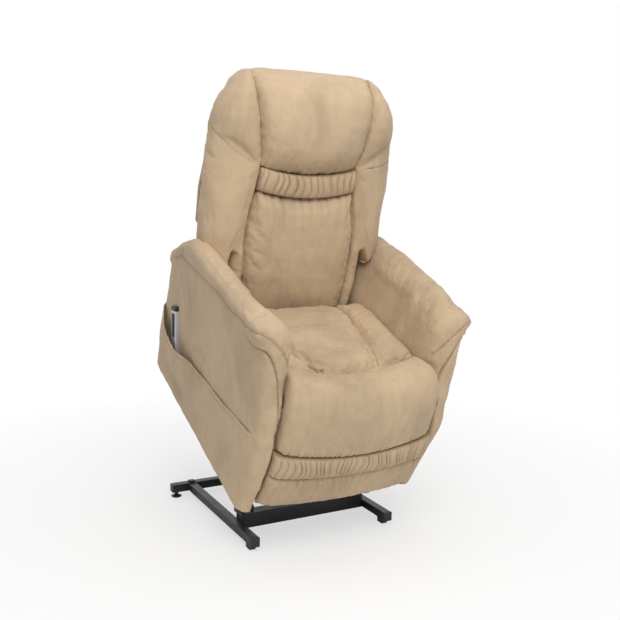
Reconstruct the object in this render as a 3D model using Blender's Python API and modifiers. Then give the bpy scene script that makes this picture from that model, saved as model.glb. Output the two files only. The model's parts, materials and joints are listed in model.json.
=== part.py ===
"""Lift recliner chair, shown raised and tipped forward as for standing up.

A steel lift base with two pairs of lift arms carries the upholstered chair body.
The backrest reclines, the front pad swings out as a legrest, and a handset
stands in the pocket on the sitter's right side.  Metres, +Z up, the sitter
faces -Y.  The chair body is laid out level in its own axes and then tipped:
u runs forward, v up, x to the sitter's left.
"""
import math

import bmesh
import bpy
from mathutils import Matrix, Vector

# ------------------------------------------------------------------ fits
GAP = 0.0003              # between pieces that touch
RUNNING = 0.0003          # radial play of a pin in its hole
SOFT_GAP = 0.0015         # between two cushions side by side
SEAM_GAP = 0.0004         # between two panels sewn edge to edge
SIDE_PLAY = 0.0015        # between plates that pass each other

# ------------------------------------------------------------------ whole chair
DEPTH_CENTRE = -0.0537    # moves the layout so that the origin is under its middle
TILT = math.radians(21.52)    # of the raised chair body
BODY_Y = -0.2069          # lower front corner of the side panels, raised
BODY_Z = 0.1578

# ------------------------------------------------------------------ lift base
BASE_WIDTH = 0.541
RAIL_WIDTH = 0.032
RAIL_HEIGHT = 0.027
RAIL_CLEARANCE = 0.019    # underside above the floor
RAIL_FRONT_Y = -0.183
RAIL_BEVEL = 0.003
RAIL_CAP = 0.009          # thickness of the plastic end caps
REAR_BAR_BACK_Y = 0.4115
REAR_BAR_DEPTH = 0.032
REAR_BAR_HEIGHT = 0.030
REAR_BAR_REACH = 0.064    # past each rail
FRONT_BAR_Y = -0.039      # front face
FRONT_BAR_DEPTH = 0.050
FRONT_BAR_HEIGHT = 0.051
JOINT_CAP = (0.022, 0.018, 0.006)
FRONT_GLIDE = (0.026, 0.030)
FRONT_GLIDE_SETBACK = 0.012
FRONT_GLIDE_HEIGHT = 0.0145
FOOT_RADIUS = 0.020
FOOT_DISC = 0.006
STEM_RADIUS = 0.004
FOOT_INSET = 0.020        # from the end of the rear bar

# ------------------------------------------------------------------ lift linkage
BRACKET_X = 0.2235        # inner face of each upright bracket plate
BRACKET_PLATE = 0.005
BRACKET_HUB = 0.018
REAR_ARM_PIVOT = (-0.0443, 0.1317)     # y, z on the base
FRONT_ARM_PIVOT = (-0.0872, 0.1096)
REAR_ARM_TOP = (-0.5478, 0.1316)       # u, v on the chair body
FRONT_ARM_TOP = (-0.3866, 0.0832)
ARM_PLATE = 0.006
ARM_HUB = 0.016
FRONT_ARM_X = BRACKET_X + BRACKET_PLATE + SIDE_PLAY + 0.0005
PIN_RADIUS = 0.005
JOURNAL_RADIUS = 0.006
PIN_HEAD_RADIUS = 0.009
PIN_HEAD = 0.0022
TORQUE_TUBE_RADIUS = 0.0125
CRANK_LENGTH = 0.120
CRANK_ANGLE = math.radians(139.0)      # above straight back, chair raised
CRANK_PLATE = 0.005
CRANK_HALF_GAP = 0.013                 # rod eye runs between the two cheeks
CRANK_HUB = 0.013

# ------------------------------------------------------------------ actuators
LIFT_TAIL = (0.385, 0.078)             # y, z of its pivot on the rear bar
ACTUATOR_TUBE_RADIUS = 0.017
ACTUATOR_ROD_RADIUS = 0.010
GEARBOX = (0.046, 0.064, 0.052)        # across, along, deep
MOTOR_RADIUS = 0.022
MOTOR_LENGTH = 0.105
MOTOR_OFFSET = 0.050
TAIL_LUG = 0.011                       # radius of the lug round the tail pivot
TAIL_LUG_WIDTH = 0.016
TAIL_PIN_RADIUS = 0.005
ROD_EYE_RADIUS = 0.018
ROD_EYE_HOLE = 0.0130                  # wide, so the opened pivot never binds
ROD_EYE_WIDTH = 0.016
EAR_PLATE = 0.004
EAR_HALF_GAP = 0.0105
SIDE_DRIVE_X = 0.100                   # legrest drive at +x, backrest drive at -x
LEGREST_TAIL = (-0.350, 0.100)         # u, v
LEGREST_LEVER = 0.046
LEGREST_LEVER_ANGLE = math.radians(-98.5)
BACK_TAIL = (-0.115, 0.270)            # u, v
BACK_LEVER = 0.100
BACK_LEVER_ANGLE = math.radians(-105.0)
LIFT_STROKE = (-0.064, 0.110)          # travel from rest, length of rod left showing
LEGREST_STROKE = (0.065, 0.064)
BACK_STROKE = (-0.070, 0.108)

# ------------------------------------------------------------------ seat frame
SIDE_INNER_X = 0.285                   # inner face of the upholstered side panels
PLATE_X = 0.2385                       # inner face of the mechanism plates
MECH_PLATE = 0.004
MECH_HUB = 0.020
BACK_PIVOT = (-0.560, 0.300)           # u, v
LEGREST_PIVOT = (0.000, 0.400)
SEAT_RAIL_V = 0.345                    # underside of the seat frame
SEAT_RAIL_HEIGHT = 0.025
SEAT_RAIL_DEPTH = 0.030
FRONT_RAIL_U = -0.045                  # front face of the front rail
REAR_RAIL_U = -0.435                   # front face of the rear rail
SIDE_RAIL_REAR_U = -0.520
SPRING_WIRE = 0.0019                   # radius
SPRING_COUNT = 5
SPRING_PITCH = 0.084
SPRING_WAVE = 0.022
SPRING_BENDS = 11
LIGHTENING_HOLE = 0.038
LEGREST_ARM_X = 0.2555                 # inner face of the legrest's hinge arms
LEGREST_ARM = 0.004
LEGREST_BRACKET_X = LEGREST_ARM_X + LEGREST_ARM + SIDE_PLAY

# ------------------------------------------------------------------ upholstery
SEAT_HALF = 0.2500
SEAT_REAR_U = -0.468
SEAM_U = -0.067                        # seam across the seat
SEAT_EDGE_U = -0.018                   # front of the seat edge foam
SEAT_BASE_V = SEAT_RAIL_V + SEAT_RAIL_HEIGHT + 2 * SPRING_WIRE + 2 * GAP
ROLL_REAR_HALF = 0.2485                # between the arm pads
ROLL_INNER = 0.021                     # of the front roll, round the legrest pivot
ROLL_BASE_V = LEGREST_PIVOT[1] + ROLL_INNER
PAD_HALF = 0.278                       # of the front pad at its widest
BOARD_THICKNESS = 0.012
BOARD_HALF = 0.262
BOARD_REAR_U = 0.0123
BAND_TOP_V = 0.258                     # seams of the gathered band on the legrest
BAND_LOW_V = 0.168
PAD_LOW_V = 0.012
ARM_SEAM_V = 0.580                     # seam between side panel and arm pad
ARM_TOP_V = 0.656
ARM_INNER_X = 0.2505
BACK_LEAN = math.radians(15.5)         # of the backrest in the chair body
BACK_FRAME_FRONT = 0.016               # f, forward from the recline pivot
BACK_FRAME_REAR = -0.016
COVER_REAR = -0.040
COVER_WALL = 0.010
COVER_FRONT = 0.0212
COVER_LOW_H = 0.060
BACK_LOW_H = 0.036
BACK_LOW_HALF = 0.2460                 # between the arms
BACK_WIDE_HALF = 0.3580
BACK_WIDE_H = 0.340                    # where the backrest spreads over the arms
BACK_WIDE_SLOPE = 0.19                 # the lower edge of the spread rises to the rear
BAND_LOW_H = 0.528
BAND_TOP_H = 0.606
BAND_SAG = 0.024
NECK_FOLDS = 11
REAR_SHARE = 0.92         # width of a centre panel's back against its front
HEAD_TOP_H = 0.910
UPRIGHT_X = 0.198
UPRIGHT_WIDTH = 0.030

# ------------------------------------------------------------------ pocket, handset
POCKET_SHEET = 0.003
POCKET_BULGE = 0.0295
POCKET_CENTRE_U = -0.610
HANDSET_U = -0.592
HANDSET_BASE_V = 0.180
HANDSET_LENGTH = 0.200
HANDSET_WIDTH = 0.046
HANDSET_DEPTH = 0.019
HANDSET_CAP = 0.016
KEY_COUNT = 3
KEY_TRAVEL = 0.0012
GLIDE_U = -0.033
GLIDE_RADIUS = 0.016
GLIDE_HEIGHT = 0.027

# colours as linear red, green, blue
SUEDE = ((0.560, 0.415, 0.255), 0.90, 0.0)
SUEDE_DARK = ((0.480, 0.350, 0.210), 0.92, 0.0)
BLACK_STEEL = ((0.016, 0.016, 0.018), 0.42, 0.55)
ZINC = ((0.42, 0.42, 0.43), 0.38, 1.0)
BLACK_PLASTIC = ((0.020, 0.020, 0.022), 0.50, 0.0)
GREY_PLASTIC = ((0.045, 0.046, 0.050), 0.55, 0.0)
SILVER_PLASTIC = ((0.48, 0.48, 0.49), 0.35, 0.2)
PLYWOOD = ((0.420, 0.285, 0.150), 0.75, 0.0)
SIDES = ((-1, "right"), (1, "left"))


# ================================================================== helpers
def new_collection(name):
    """A named collection under the scene."""
    collection = bpy.data.collections.new(name)
    bpy.context.scene.collection.children.link(collection)
    return collection


def material(name, finish):
    """A Principled material from (colour, roughness, metallic)."""
    colour, roughness, metallic = finish
    made = bpy.data.materials.new(name)
    made.use_nodes = True
    shader = made.node_tree.nodes["Principled BSDF"]
    shader.inputs["Base Color"].default_value = (*colour, 1.0)
    shader.inputs["Roughness"].default_value = roughness
    shader.inputs["Metallic"].default_value = metallic
    return made


def axis_empty(name, parent, place, turn=0.0):
    """An empty whose X axis is a joint's axis or a sub-assembly's cross axis."""
    empty = bpy.data.objects.new(name, None)
    PARTS.objects.link(empty)
    empty.parent = parent
    empty.location = place
    empty.rotation_euler = (turn, 0.0, 0.0)
    return empty


def finish_object(name, mesh, finish, parent, smooth=False):
    """Link a mesh as a named part with a material of its own."""
    part = bpy.data.objects.new(name, mesh)
    PARTS.objects.link(part)
    mesh.materials.append(material(name, finish))
    part.parent = parent
    if smooth:
        mesh.shade_smooth()
        mesh.set_sharp_from_angle(angle=math.radians(50))
    return part


def mesh_from(bm, name):
    """Turn a bmesh into a mesh with its faces pointing out."""
    bmesh.ops.recalc_face_normals(bm, faces=bm.faces)
    if bm.calc_volume(signed=True) < 0:
        bmesh.ops.reverse_faces(bm, faces=bm.faces)
    mesh = bpy.data.meshes.new(name)
    bm.to_mesh(mesh)
    bm.free()
    return mesh


def add_box(bm, size, centre, turn=0.0):
    """A box in a bmesh, turned about X."""
    made = bmesh.ops.create_cube(bm, size=1.0)
    place = Matrix.Translation(centre) @ Matrix.Rotation(turn, 4, "X")
    place = place @ Matrix.Diagonal((*size, 1.0))
    bmesh.ops.transform(bm, matrix=place, verts=made["verts"])
    return made["verts"]


def add_rod(bm, start, end, radius, sides=16, end_radius=None):
    """A closed cylinder, or a cone, between two points in a bmesh."""
    start, end = Vector(start), Vector(end)
    run = end - start
    tip = radius if end_radius is None else end_radius
    made = bmesh.ops.create_cone(bm, cap_ends=True, segments=sides, radius1=radius,
                                 radius2=tip, depth=run.length)
    turn = run.to_track_quat("Z", "Y").to_matrix().to_4x4()
    place = Matrix.Translation((start + end) / 2) @ turn
    bmesh.ops.transform(bm, matrix=place, verts=made["verts"])
    return made["verts"]


def bevelled(part, width, segments=2):
    """Round the edges of a part."""
    modifier = part.modifiers.new("rounded edges", "BEVEL")
    modifier.width = width
    modifier.segments = segments
    modifier.limit_method = "ANGLE"
    modifier.angle_limit = math.radians(50)
    return part


def box_part(name, size, centre, finish, parent, bevel=0.0):
    """One box with rounded edges."""
    bm = bmesh.new()
    add_box(bm, size, centre)
    part = finish_object(name, mesh_from(bm, name), finish, parent)
    return bevelled(part, bevel) if bevel else part


def cutter(name, mesh, parent):
    """An object that only shapes others."""
    tool = bpy.data.objects.new(name, mesh)
    CUTTERS.objects.link(tool)
    tool.parent = parent
    tool.hide_render = True
    tool.display_type = "WIRE"
    return tool


def boolean(part, tool, operation):
    """Cut or join with an exact Boolean."""
    modifier = part.modifiers.new(tool.name, "BOOLEAN")
    modifier.operation = operation
    modifier.solver = "EXACT"
    modifier.object = tool
    return part


def weld(part, label, meshes):
    """Join more closed shapes, clear of one another, to a part."""
    return boolean(part, cutter(label, joined(label, meshes), part.parent), "UNION")


def hull_outline(circles, count=28):
    """The outline of a plate stretched round circles of (p, q, radius)."""
    points = []
    for p, q, radius in circles:
        for step in range(count):
            angle = 2 * math.pi * step / count
            points.append((p + radius * math.cos(angle), q + radius * math.sin(angle)))
    points.sort()

    def half(ordered):
        chain = []
        for point in ordered:
            while len(chain) > 1 and turn_of(chain[-2], chain[-1], point) <= 1e-12:
                chain.pop()
            chain.append(point)
        return chain[:-1]

    return half(points) + half(points[::-1])


def turn_of(a, b, c):
    """Twice the signed area of a triangle."""
    return (b[0] - a[0]) * (c[1] - a[1]) - (b[1] - a[1]) * (c[0] - a[0])


def circle_outline(p, q, radius, count=16):
    """A round hole's outline."""
    turns = [2 * math.pi * step / count for step in range(count)]
    return [(p + radius * math.cos(turn), q + radius * math.sin(turn)) for turn in turns]


def plate_mesh(name, outlines, thickness, x_centre):
    """A flat plate across X; outlines hold (rearward, up) points, the first the rim."""
    curve = bpy.data.curves.new(name + " outline", "CURVE")
    curve.dimensions = "2D"
    curve.fill_mode = "BOTH"
    curve.extrude = thickness / 2
    for outline in outlines:
        spline = curve.splines.new("POLY")
        spline.points.add(len(outline) - 1)
        for point, (p, q) in zip(spline.points, outline):
            point.co = (p, q, 0.0, 1.0)
        spline.use_cyclic_u = True
    drawn = bpy.data.objects.new(name + " outline", curve)
    bpy.context.scene.collection.objects.link(drawn)
    graph = bpy.context.evaluated_depsgraph_get()
    mesh = bpy.data.meshes.new_from_object(drawn.evaluated_get(graph))
    bpy.data.objects.remove(drawn)
    bpy.data.curves.remove(curve)
    stand = Matrix(((0, 0, 1, x_centre), (1, 0, 0, 0), (0, 1, 0, 0), (0, 0, 0, 1)))
    mesh.transform(stand)
    bm = bmesh.new()
    bm.from_mesh(mesh)
    bmesh.ops.remove_doubles(bm, verts=bm.verts, dist=1e-5)
    bpy.data.meshes.remove(mesh)
    return mesh_from(bm, name)


def side_plate(name, side, outlines, thickness, inner_x, finish, parent):
    """A plate on one side of the chair, its inner face at inner_x."""
    mesh = plate_mesh(name, outlines, thickness, side * (inner_x + thickness / 2))
    return finish_object(name, mesh, finish, parent)


def box_mesh(size, centre):
    """One box as a mesh."""
    bm = bmesh.new()
    add_box(bm, size, centre)
    return mesh_from(bm, "box")


def rod_mesh(start, end, radius, sides=16):
    """One cylinder as a mesh."""
    bm = bmesh.new()
    add_rod(bm, start, end, radius, sides)
    return mesh_from(bm, "rod")


def joined(name, meshes):
    """Several closed bodies in one mesh."""
    bm = bmesh.new()
    for mesh in meshes:
        bm.from_mesh(mesh)
    return mesh_from(bm, name)


def profile_mesh(name, profile, sides=20):
    """A shape turned round the X axis from (x, radius) points."""
    bm = bmesh.new()
    verts = [bm.verts.new((x, 0.0, radius)) for x, radius in profile]
    edges = [bm.edges.new(pair) for pair in zip(verts, verts[1:])]
    bmesh.ops.spin(bm, geom=verts + edges, cent=(0, 0, 0), axis=(1, 0, 0),
                   angle=2 * math.pi, steps=sides, use_duplicate=False)
    bmesh.ops.remove_doubles(bm, verts=bm.verts, dist=1e-6)
    return mesh_from(bm, name)


def smooth_table(table, t):
    """Read a table of (t, value) along a smooth curve through its points."""
    if t <= table[0][0]:
        return table[0][1]
    if t >= table[-1][0]:
        return table[-1][1]
    index = max(k for k in range(len(table) - 1) if table[k][0] <= t)

    def slope(k):
        low, high = table[max(k - 1, 0)], table[min(k + 1, len(table) - 1)]
        return (high[1] - low[1]) / (high[0] - low[0])

    (t0, y0), (t1, y1) = table[index], table[index + 1]
    span = t1 - t0
    s = (t - t0) / span
    return ((2 * s**3 - 3 * s**2 + 1) * y0 + (s**3 - 2 * s**2 + s) * span * slope(index)
            + (3 * s**2 - 2 * s**3) * y1 + (s**3 - s**2) * span * slope(index + 1))


def mix(low, high, t):
    """Blend from low to high."""
    return low + (high - low) * t


def spread(count, ends=0.0):
    """Stations from 0 to 1, drawn towards both ends."""
    stations = []
    for step in range(count + 1):
        t = step / count
        eased = 0.5 - 0.5 * math.cos(math.pi * t)
        stations.append(mix(t, eased, ends))
    return stations


def dome(a, b, power=4.0):
    """1 in the middle of a cushion and 0 round its rim, for a and b from 0 to 1."""
    side = 1 - abs(2 * a - 1) ** power
    end = 1 - abs(2 * b - 1) ** power
    return math.sqrt(max(side, 0.0) * max(end, 0.0))


def soft_block(name, stations, shape, finish, parent):
    """A cushion: a cube cut into cells, each corner of a cell placed by shape(a, b, c)."""
    bm = bmesh.new()
    bmesh.ops.create_cube(bm, size=1.0)
    for axis in range(3):
        along = []
        for edge in bm.edges:
            run = edge.verts[1].co - edge.verts[0].co
            if abs(run[axis]) > 0.9:
                along.append(edge)
        cells = len(stations[axis]) - 1
        if cells > 1:
            bmesh.ops.subdivide_edges(bm, edges=along, cuts=cells - 1,
                                      use_grid_fill=True)
    for vert in bm.verts:
        place = []
        for axis in range(3):
            cells = len(stations[axis]) - 1
            place.append(stations[axis][round((vert.co[axis] + 0.5) * cells)])
        vert.co = shape(*place)
    mesh = mesh_from(bm, name)
    return finish_object(name, mesh, finish, parent, smooth=True)


def at(x, u, v):
    """A point of the chair body: x across, u forward, v up."""
    return Vector((x, -u, v))


def on_back(x, f, h):
    """A point of the backrest: f forward, h up along it, from the recline pivot."""
    return Vector((x, -f, h))


def on_legrest(x, u, v):
    """A point of the legrest, given where it hangs in the closed chair."""
    return at(x, u - LEGREST_PIVOT[0], v - LEGREST_PIVOT[1])


def body_to_world(point):
    """Where a (u, v) point of the raised chair body lies, as (y, z)."""
    u, v = point
    return (BODY_Y - u * math.cos(TILT) - v * math.sin(TILT),
            BODY_Z - u * math.sin(TILT) + v * math.cos(TILT))


# ================================================================== lift base
def make_base(root):
    """Two floor rails, two cross bars, upright brackets, glides and levelling feet."""
    rail_x = (BASE_WIDTH - RAIL_WIDTH) / 2
    rail_z = RAIL_CLEARANCE + RAIL_HEIGHT / 2
    rail_back = REAR_BAR_BACK_Y - REAR_BAR_DEPTH - GAP
    rail_start = RAIL_FRONT_Y + RAIL_CAP + GAP
    strap = RAIL_CLEARANCE - 2 * GAP - FRONT_GLIDE_HEIGHT
    glide_y = rail_start + FRONT_GLIDE_SETBACK + FRONT_GLIDE[1] / 2
    for side, word in SIDES:
        x = side * rail_x
        box_part(f"{word}_base_rail", (RAIL_WIDTH, rail_back - rail_start, RAIL_HEIGHT),
                 (x, (rail_start + rail_back) / 2, rail_z), BLACK_STEEL, root,
                 RAIL_BEVEL)
        cap_low = RAIL_CLEARANCE - GAP - strap
        cap = box_part(f"{word}_rail_glide",
                       (RAIL_WIDTH, RAIL_CAP, RAIL_CLEARANCE + RAIL_HEIGHT - cap_low),
                       (x, RAIL_FRONT_Y + RAIL_CAP / 2,
                        (RAIL_CLEARANCE + RAIL_HEIGHT + cap_low) / 2),
                       BLACK_PLASTIC, root)
        reach = glide_y + FRONT_GLIDE[1] / 2 - RAIL_FRONT_Y - 0.001
        weld(cap, f"{word} glide strap",
             [box_mesh((FRONT_GLIDE[0], reach, strap),
                       (x, RAIL_FRONT_Y + 0.001 + reach / 2, cap_low + strap / 2))])
        lug_top = cap_low + strap / 2
        weld(cap, f"{word} glide lug", [box_mesh((FRONT_GLIDE[0] - 0.004,
                                                  FRONT_GLIDE[1], lug_top),
                                                 (x, glide_y, lug_top / 2))])
        bevelled(cap, 0.002)
    front_width = BASE_WIDTH - 2 * RAIL_WIDTH - 2 * GAP
    box_part("front_cross_bar", (front_width, FRONT_BAR_DEPTH, FRONT_BAR_HEIGHT),
             (0, FRONT_BAR_Y + FRONT_BAR_DEPTH / 2,
              RAIL_CLEARANCE + FRONT_BAR_HEIGHT / 2), BLACK_STEEL, root, RAIL_BEVEL)
    make_rear_bar(root, rail_x)
    make_brackets(root)


def make_rear_bar(root, rail_x):
    """The rear cross bar with its caps, the lift drive's ears and the two feet."""
    width = BASE_WIDTH + 2 * REAR_BAR_REACH
    y = REAR_BAR_BACK_Y - REAR_BAR_DEPTH / 2
    top = RAIL_CLEARANCE + REAR_BAR_HEIGHT
    bar = box_part("rear_cross_bar", (width, REAR_BAR_DEPTH, REAR_BAR_HEIGHT),
                   (0, y, RAIL_CLEARANCE + REAR_BAR_HEIGHT / 2), BLACK_STEEL, root,
                   RAIL_BEVEL)
    holes = []
    foot_x = width / 2 - FOOT_INSET
    for side in (-1, 1):
        holes.append(rod_mesh((side * foot_x, y, 0.0), (side * foot_x, y, top + 0.01),
                              STEM_RADIUS + RUNNING))
    boolean(bar, cutter("levelling foot holes", joined("holes", holes), root),
            "DIFFERENCE")
    caps = []
    for side in (-1, 1):
        caps.append(box_mesh(JOINT_CAP, (side * rail_x, y, top + JOINT_CAP[2] / 2
                                         - 0.001)))
    ears, pin = tail_ears(LIFT_TAIL, 0.0, top, y)
    weld(bar, "lift ears", ears + caps)
    weld(bar, "lift ear pin", [pin])
    for side, word in SIDES:
        make_levelling_foot(f"{word}_levelling_foot", (side * foot_x, y), root)


def make_brackets(root):
    """Upright plates on the front cross bar that carry both pairs of lift arms."""
    bar_top = RAIL_CLEARANCE + FRONT_BAR_HEIGHT + GAP
    corner = 0.004
    foot_back = FRONT_BAR_Y + FRONT_BAR_DEPTH - corner
    foot_front = FRONT_BAR_Y + corner
    rim = hull_outline([(*REAR_ARM_PIVOT, BRACKET_HUB), (*FRONT_ARM_PIVOT, BRACKET_HUB),
                        (foot_back, bar_top + corner, corner),
                        (foot_front, bar_top + corner, corner)])
    hole = circle_outline(*REAR_ARM_PIVOT, JOURNAL_RADIUS + RUNNING)
    end = FRONT_ARM_X + ARM_PLATE + GAP
    stud = [(BRACKET_X + 0.001, 0.0), (BRACKET_X + 0.001, PIN_RADIUS), (end, PIN_RADIUS),
            (end, PIN_HEAD_RADIUS), (end + PIN_HEAD, PIN_HEAD_RADIUS),
            (end + PIN_HEAD, 0.0)]
    for side, word in SIDES:
        bracket = side_plate(f"{word}_lift_bracket", side, [rim, hole], BRACKET_PLATE,
                             BRACKET_X, BLACK_STEEL, root)
        weld(bracket, f"{word} front arm stud",
             [stepped_stud(side, stud, (0, *FRONT_ARM_PIVOT))])


def tail_ears(pivot, x, seat_v, seat_p):
    """Meshes of two ears, and of the pin that holds an actuator's tail, in (y, z)."""
    away = -0.002 if pivot[1] > seat_v else 0.002
    rim = hull_outline([(*pivot, TAIL_LUG), (seat_p - 0.010, seat_v + away, 0.003),
                        (seat_p + 0.010, seat_v + away, 0.003)], 20)
    ears = []
    for side in (-1, 1):
        centre = x + side * (EAR_HALF_GAP + EAR_PLATE / 2)
        ears.append(plate_mesh("ear", [rim], EAR_PLATE, centre))
    reach = EAR_HALF_GAP + EAR_PLATE + PIN_HEAD
    pin = rod_mesh((x - reach, *pivot), (x + reach, *pivot), TAIL_PIN_RADIUS, 12)
    return ears, pin


def make_levelling_foot(name, place, root):
    """A threaded stem with a domed disc, screwed into the rear bar from below."""
    x, y = place
    shoulder = RAIL_CLEARANCE - GAP
    top = RAIL_CLEARANCE + REAR_BAR_HEIGHT - 0.002
    profile = [(top, 0.0), (top, STEM_RADIUS), (shoulder, STEM_RADIUS),
               (shoulder, 0.0075), (shoulder - 0.005, 0.0075),
               (FOOT_DISC + 0.004, 0.0055), (FOOT_DISC, 0.013),
               (FOOT_DISC / 2, FOOT_RADIUS), (0.0, FOOT_RADIUS - 0.002), (0.0, 0.0)]
    mesh = profile_mesh(name, profile, 20)
    mesh.transform(Matrix.Rotation(-math.pi / 2, 4, "Y"))
    foot = finish_object(name, mesh, BLACK_STEEL, root, smooth=True)
    foot.location = (x, y, 0.0)


# ================================================================== lift arms
def make_arms(rear_axis, front_axis):
    """The lift arms and the torque tube that ties the rear pair."""
    rear_top = Vector(body_to_world(REAR_ARM_TOP)) - Vector(REAR_ARM_PIVOT)
    front_top = Vector(body_to_world(FRONT_ARM_TOP)) - Vector(FRONT_ARM_PIVOT)
    rear_x = BRACKET_X - SIDE_PLAY - ARM_PLATE
    rear_rim = hull_outline([(0, 0, ARM_HUB), (*rear_top, ARM_HUB)])
    rear_holes = [circle_outline(0, 0, JOURNAL_RADIUS + RUNNING),
                  circle_outline(*rear_top, PIN_RADIUS + RUNNING)]
    hub = ARM_HUB - 0.002
    front_rim = hull_outline([(0, 0, hub), (*front_top, hub)])
    front_holes = [circle_outline(0, 0, PIN_RADIUS + RUNNING),
                   circle_outline(*front_top, PIN_RADIUS + RUNNING)]
    for side, word in SIDES:
        side_plate(f"{word}_rear_lift_arm", side, [rear_rim, *rear_holes], ARM_PLATE,
                   rear_x, BLACK_STEEL, rear_axis)
        side_plate(f"{word}_front_lift_arm", side, [front_rim, *front_holes], ARM_PLATE,
                   FRONT_ARM_X, BLACK_STEEL, front_axis)
    make_torque_tube(rear_axis, rear_x - GAP)


def make_torque_tube(rear_axis, half):
    """The tube between the rear arms, its journals, and the crank the drive pushes."""
    name = "lift_torque_tube"
    journal_end = BRACKET_X + BRACKET_PLATE + 0.0005
    profile = [(-journal_end, 0.0), (-journal_end, JOURNAL_RADIUS),
               (-half, JOURNAL_RADIUS), (-half, TORQUE_TUBE_RADIUS),
               (half, TORQUE_TUBE_RADIUS), (half, JOURNAL_RADIUS),
               (journal_end, JOURNAL_RADIUS), (journal_end, 0.0)]
    tube = finish_object(name, profile_mesh(name, profile, 16), BLACK_STEEL, rear_axis)
    tip = (CRANK_LENGTH * math.cos(CRANK_ANGLE), CRANK_LENGTH * math.sin(CRANK_ANGLE))
    cheeks = []
    for side in (-1, 1):
        rim = hull_outline([(0, 0, TORQUE_TUBE_RADIUS + 0.006), (*tip, CRANK_HUB)], 20)
        x = side * (CRANK_HALF_GAP + CRANK_PLATE / 2)
        cheeks.append(plate_mesh("cheek", [rim], CRANK_PLATE, x))
    tool = cutter("crank cheeks", joined("crank cheeks", cheeks), rear_axis)
    boolean(tube, tool, "UNION")
    pin = bmesh.new()
    reach = CRANK_HALF_GAP + CRANK_PLATE + PIN_HEAD
    add_rod(pin, (-reach, *tip), (reach, *tip), PIN_RADIUS, 12)
    tool = cutter("crank pin", mesh_from(pin, "crank pin"), rear_axis)
    boolean(tube, tool, "UNION")


# ================================================================== actuators
def make_drive(prefix, parent, tail, tip, x, stroke, side):
    """A motor with gearbox and tube, hinged at its tail, and the rod it drives.

    tail and tip are (rearward, up) in the parent's axes.  The parts lie along
    their own axis, which runs from the tail pivot to the rod's eye.  stroke is
    the rod's travel from here and the length of it that shows.
    """
    run = Vector((tip[0] - tail[0], tip[1] - tail[1]))
    length = run.length
    angle = math.atan2(run.y, run.x)
    axis = axis_empty(f"{prefix} drive axis", parent, (x, *tail), angle)
    body_end = length - stroke[1]
    bm = bmesh.new()
    lug_end = TAIL_LUG + 0.012
    add_box(bm, (GEARBOX[0], GEARBOX[1], GEARBOX[2]),
            (0, lug_end + GEARBOX[1] / 2, 0))
    housing = finish_object(f"{prefix}_motor_housing", mesh_from(bm, "gearbox"),
                            GREY_PLASTIC, axis)
    bevelled(housing, 0.006)
    rim = hull_outline([(0, 0, TAIL_LUG), (lug_end + 0.004, 0, TAIL_LUG)], 20)
    hole = circle_outline(0, 0, TAIL_PIN_RADIUS + RUNNING)
    lug = plate_mesh("lug", [rim, hole], TAIL_LUG_WIDTH, 0.0)
    boolean(housing, cutter(f"{prefix} tail lug", lug, axis), "UNION")
    tube = bmesh.new()
    tube_start = lug_end + GEARBOX[1] - 0.004
    add_rod(tube, (0, tube_start, 0), (0, body_end, 0), ACTUATOR_TUBE_RADIUS, 20)
    boolean(housing, cutter(f"{prefix} outer tube", mesh_from(tube, "tube"), axis),
            "UNION")
    motor = bmesh.new()
    motor_x = side * MOTOR_OFFSET
    gear_y = lug_end + GEARBOX[1] / 2
    add_rod(motor, (motor_x, gear_y - 0.020, 0), (motor_x, gear_y + MOTOR_LENGTH, 0),
            MOTOR_RADIUS, 20)
    add_box(motor, (MOTOR_OFFSET, 0.030, 0.034), (motor_x / 2, gear_y, 0))
    boolean(housing, cutter(f"{prefix} motor", motor_union(motor, prefix), axis),
            "UNION")
    bore = bmesh.new()
    add_rod(bore, (0, lug_end + GEARBOX[1], 0), (0, body_end + 0.01, 0),
            ACTUATOR_ROD_RADIUS + RUNNING, 16)
    boolean(housing, cutter(f"{prefix} rod bore", mesh_from(bore, "bore"), axis),
            "DIFFERENCE")
    make_rod(prefix, axis, length, lug_end + GEARBOX[1] + 0.004 - min(stroke[0], 0))
    return axis


def motor_union(bm, prefix):
    """Join the motor can and its neck with a helper Boolean, as one closed mesh."""
    mesh = mesh_from(bm, f"{prefix} motor")
    pair = bpy.data.objects.new("motor pair", mesh)
    bpy.context.scene.collection.objects.link(pair)
    modifier = pair.modifiers.new("join", "BOOLEAN")
    modifier.operation = "UNION"
    modifier.use_self = True
    modifier.solver = "EXACT"
    empty = bpy.data.objects.new("far cube", bpy.data.meshes.new("far cube"))
    bpy.context.scene.collection.objects.link(empty)
    modifier.object = empty
    graph = bpy.context.evaluated_depsgraph_get()
    result = bpy.data.meshes.new_from_object(pair.evaluated_get(graph))
    bpy.data.objects.remove(pair)
    bpy.data.objects.remove(empty)
    return result


def make_rod(prefix, axis, length, start):
    """The rod that slides out of the tube, with a wide eye at its end."""
    bm = bmesh.new()
    add_rod(bm, (0, start, 0), (0, length - ROD_EYE_HOLE - 0.002, 0),
            ACTUATOR_ROD_RADIUS, 16)
    rod = finish_object(f"{prefix}_rod", mesh_from(bm, f"{prefix}_rod"), ZINC, axis)
    rim = hull_outline([(length, 0, ROD_EYE_RADIUS),
                        (length - ROD_EYE_RADIUS - 0.004, 0, 0.012)], 20)
    hole = circle_outline(length, 0, ROD_EYE_HOLE)
    eye = plate_mesh("eye", [rim, hole], ROD_EYE_WIDTH, 0.0)
    boolean(rod, cutter(f"{prefix} rod eye", eye, axis), "UNION")


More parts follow.
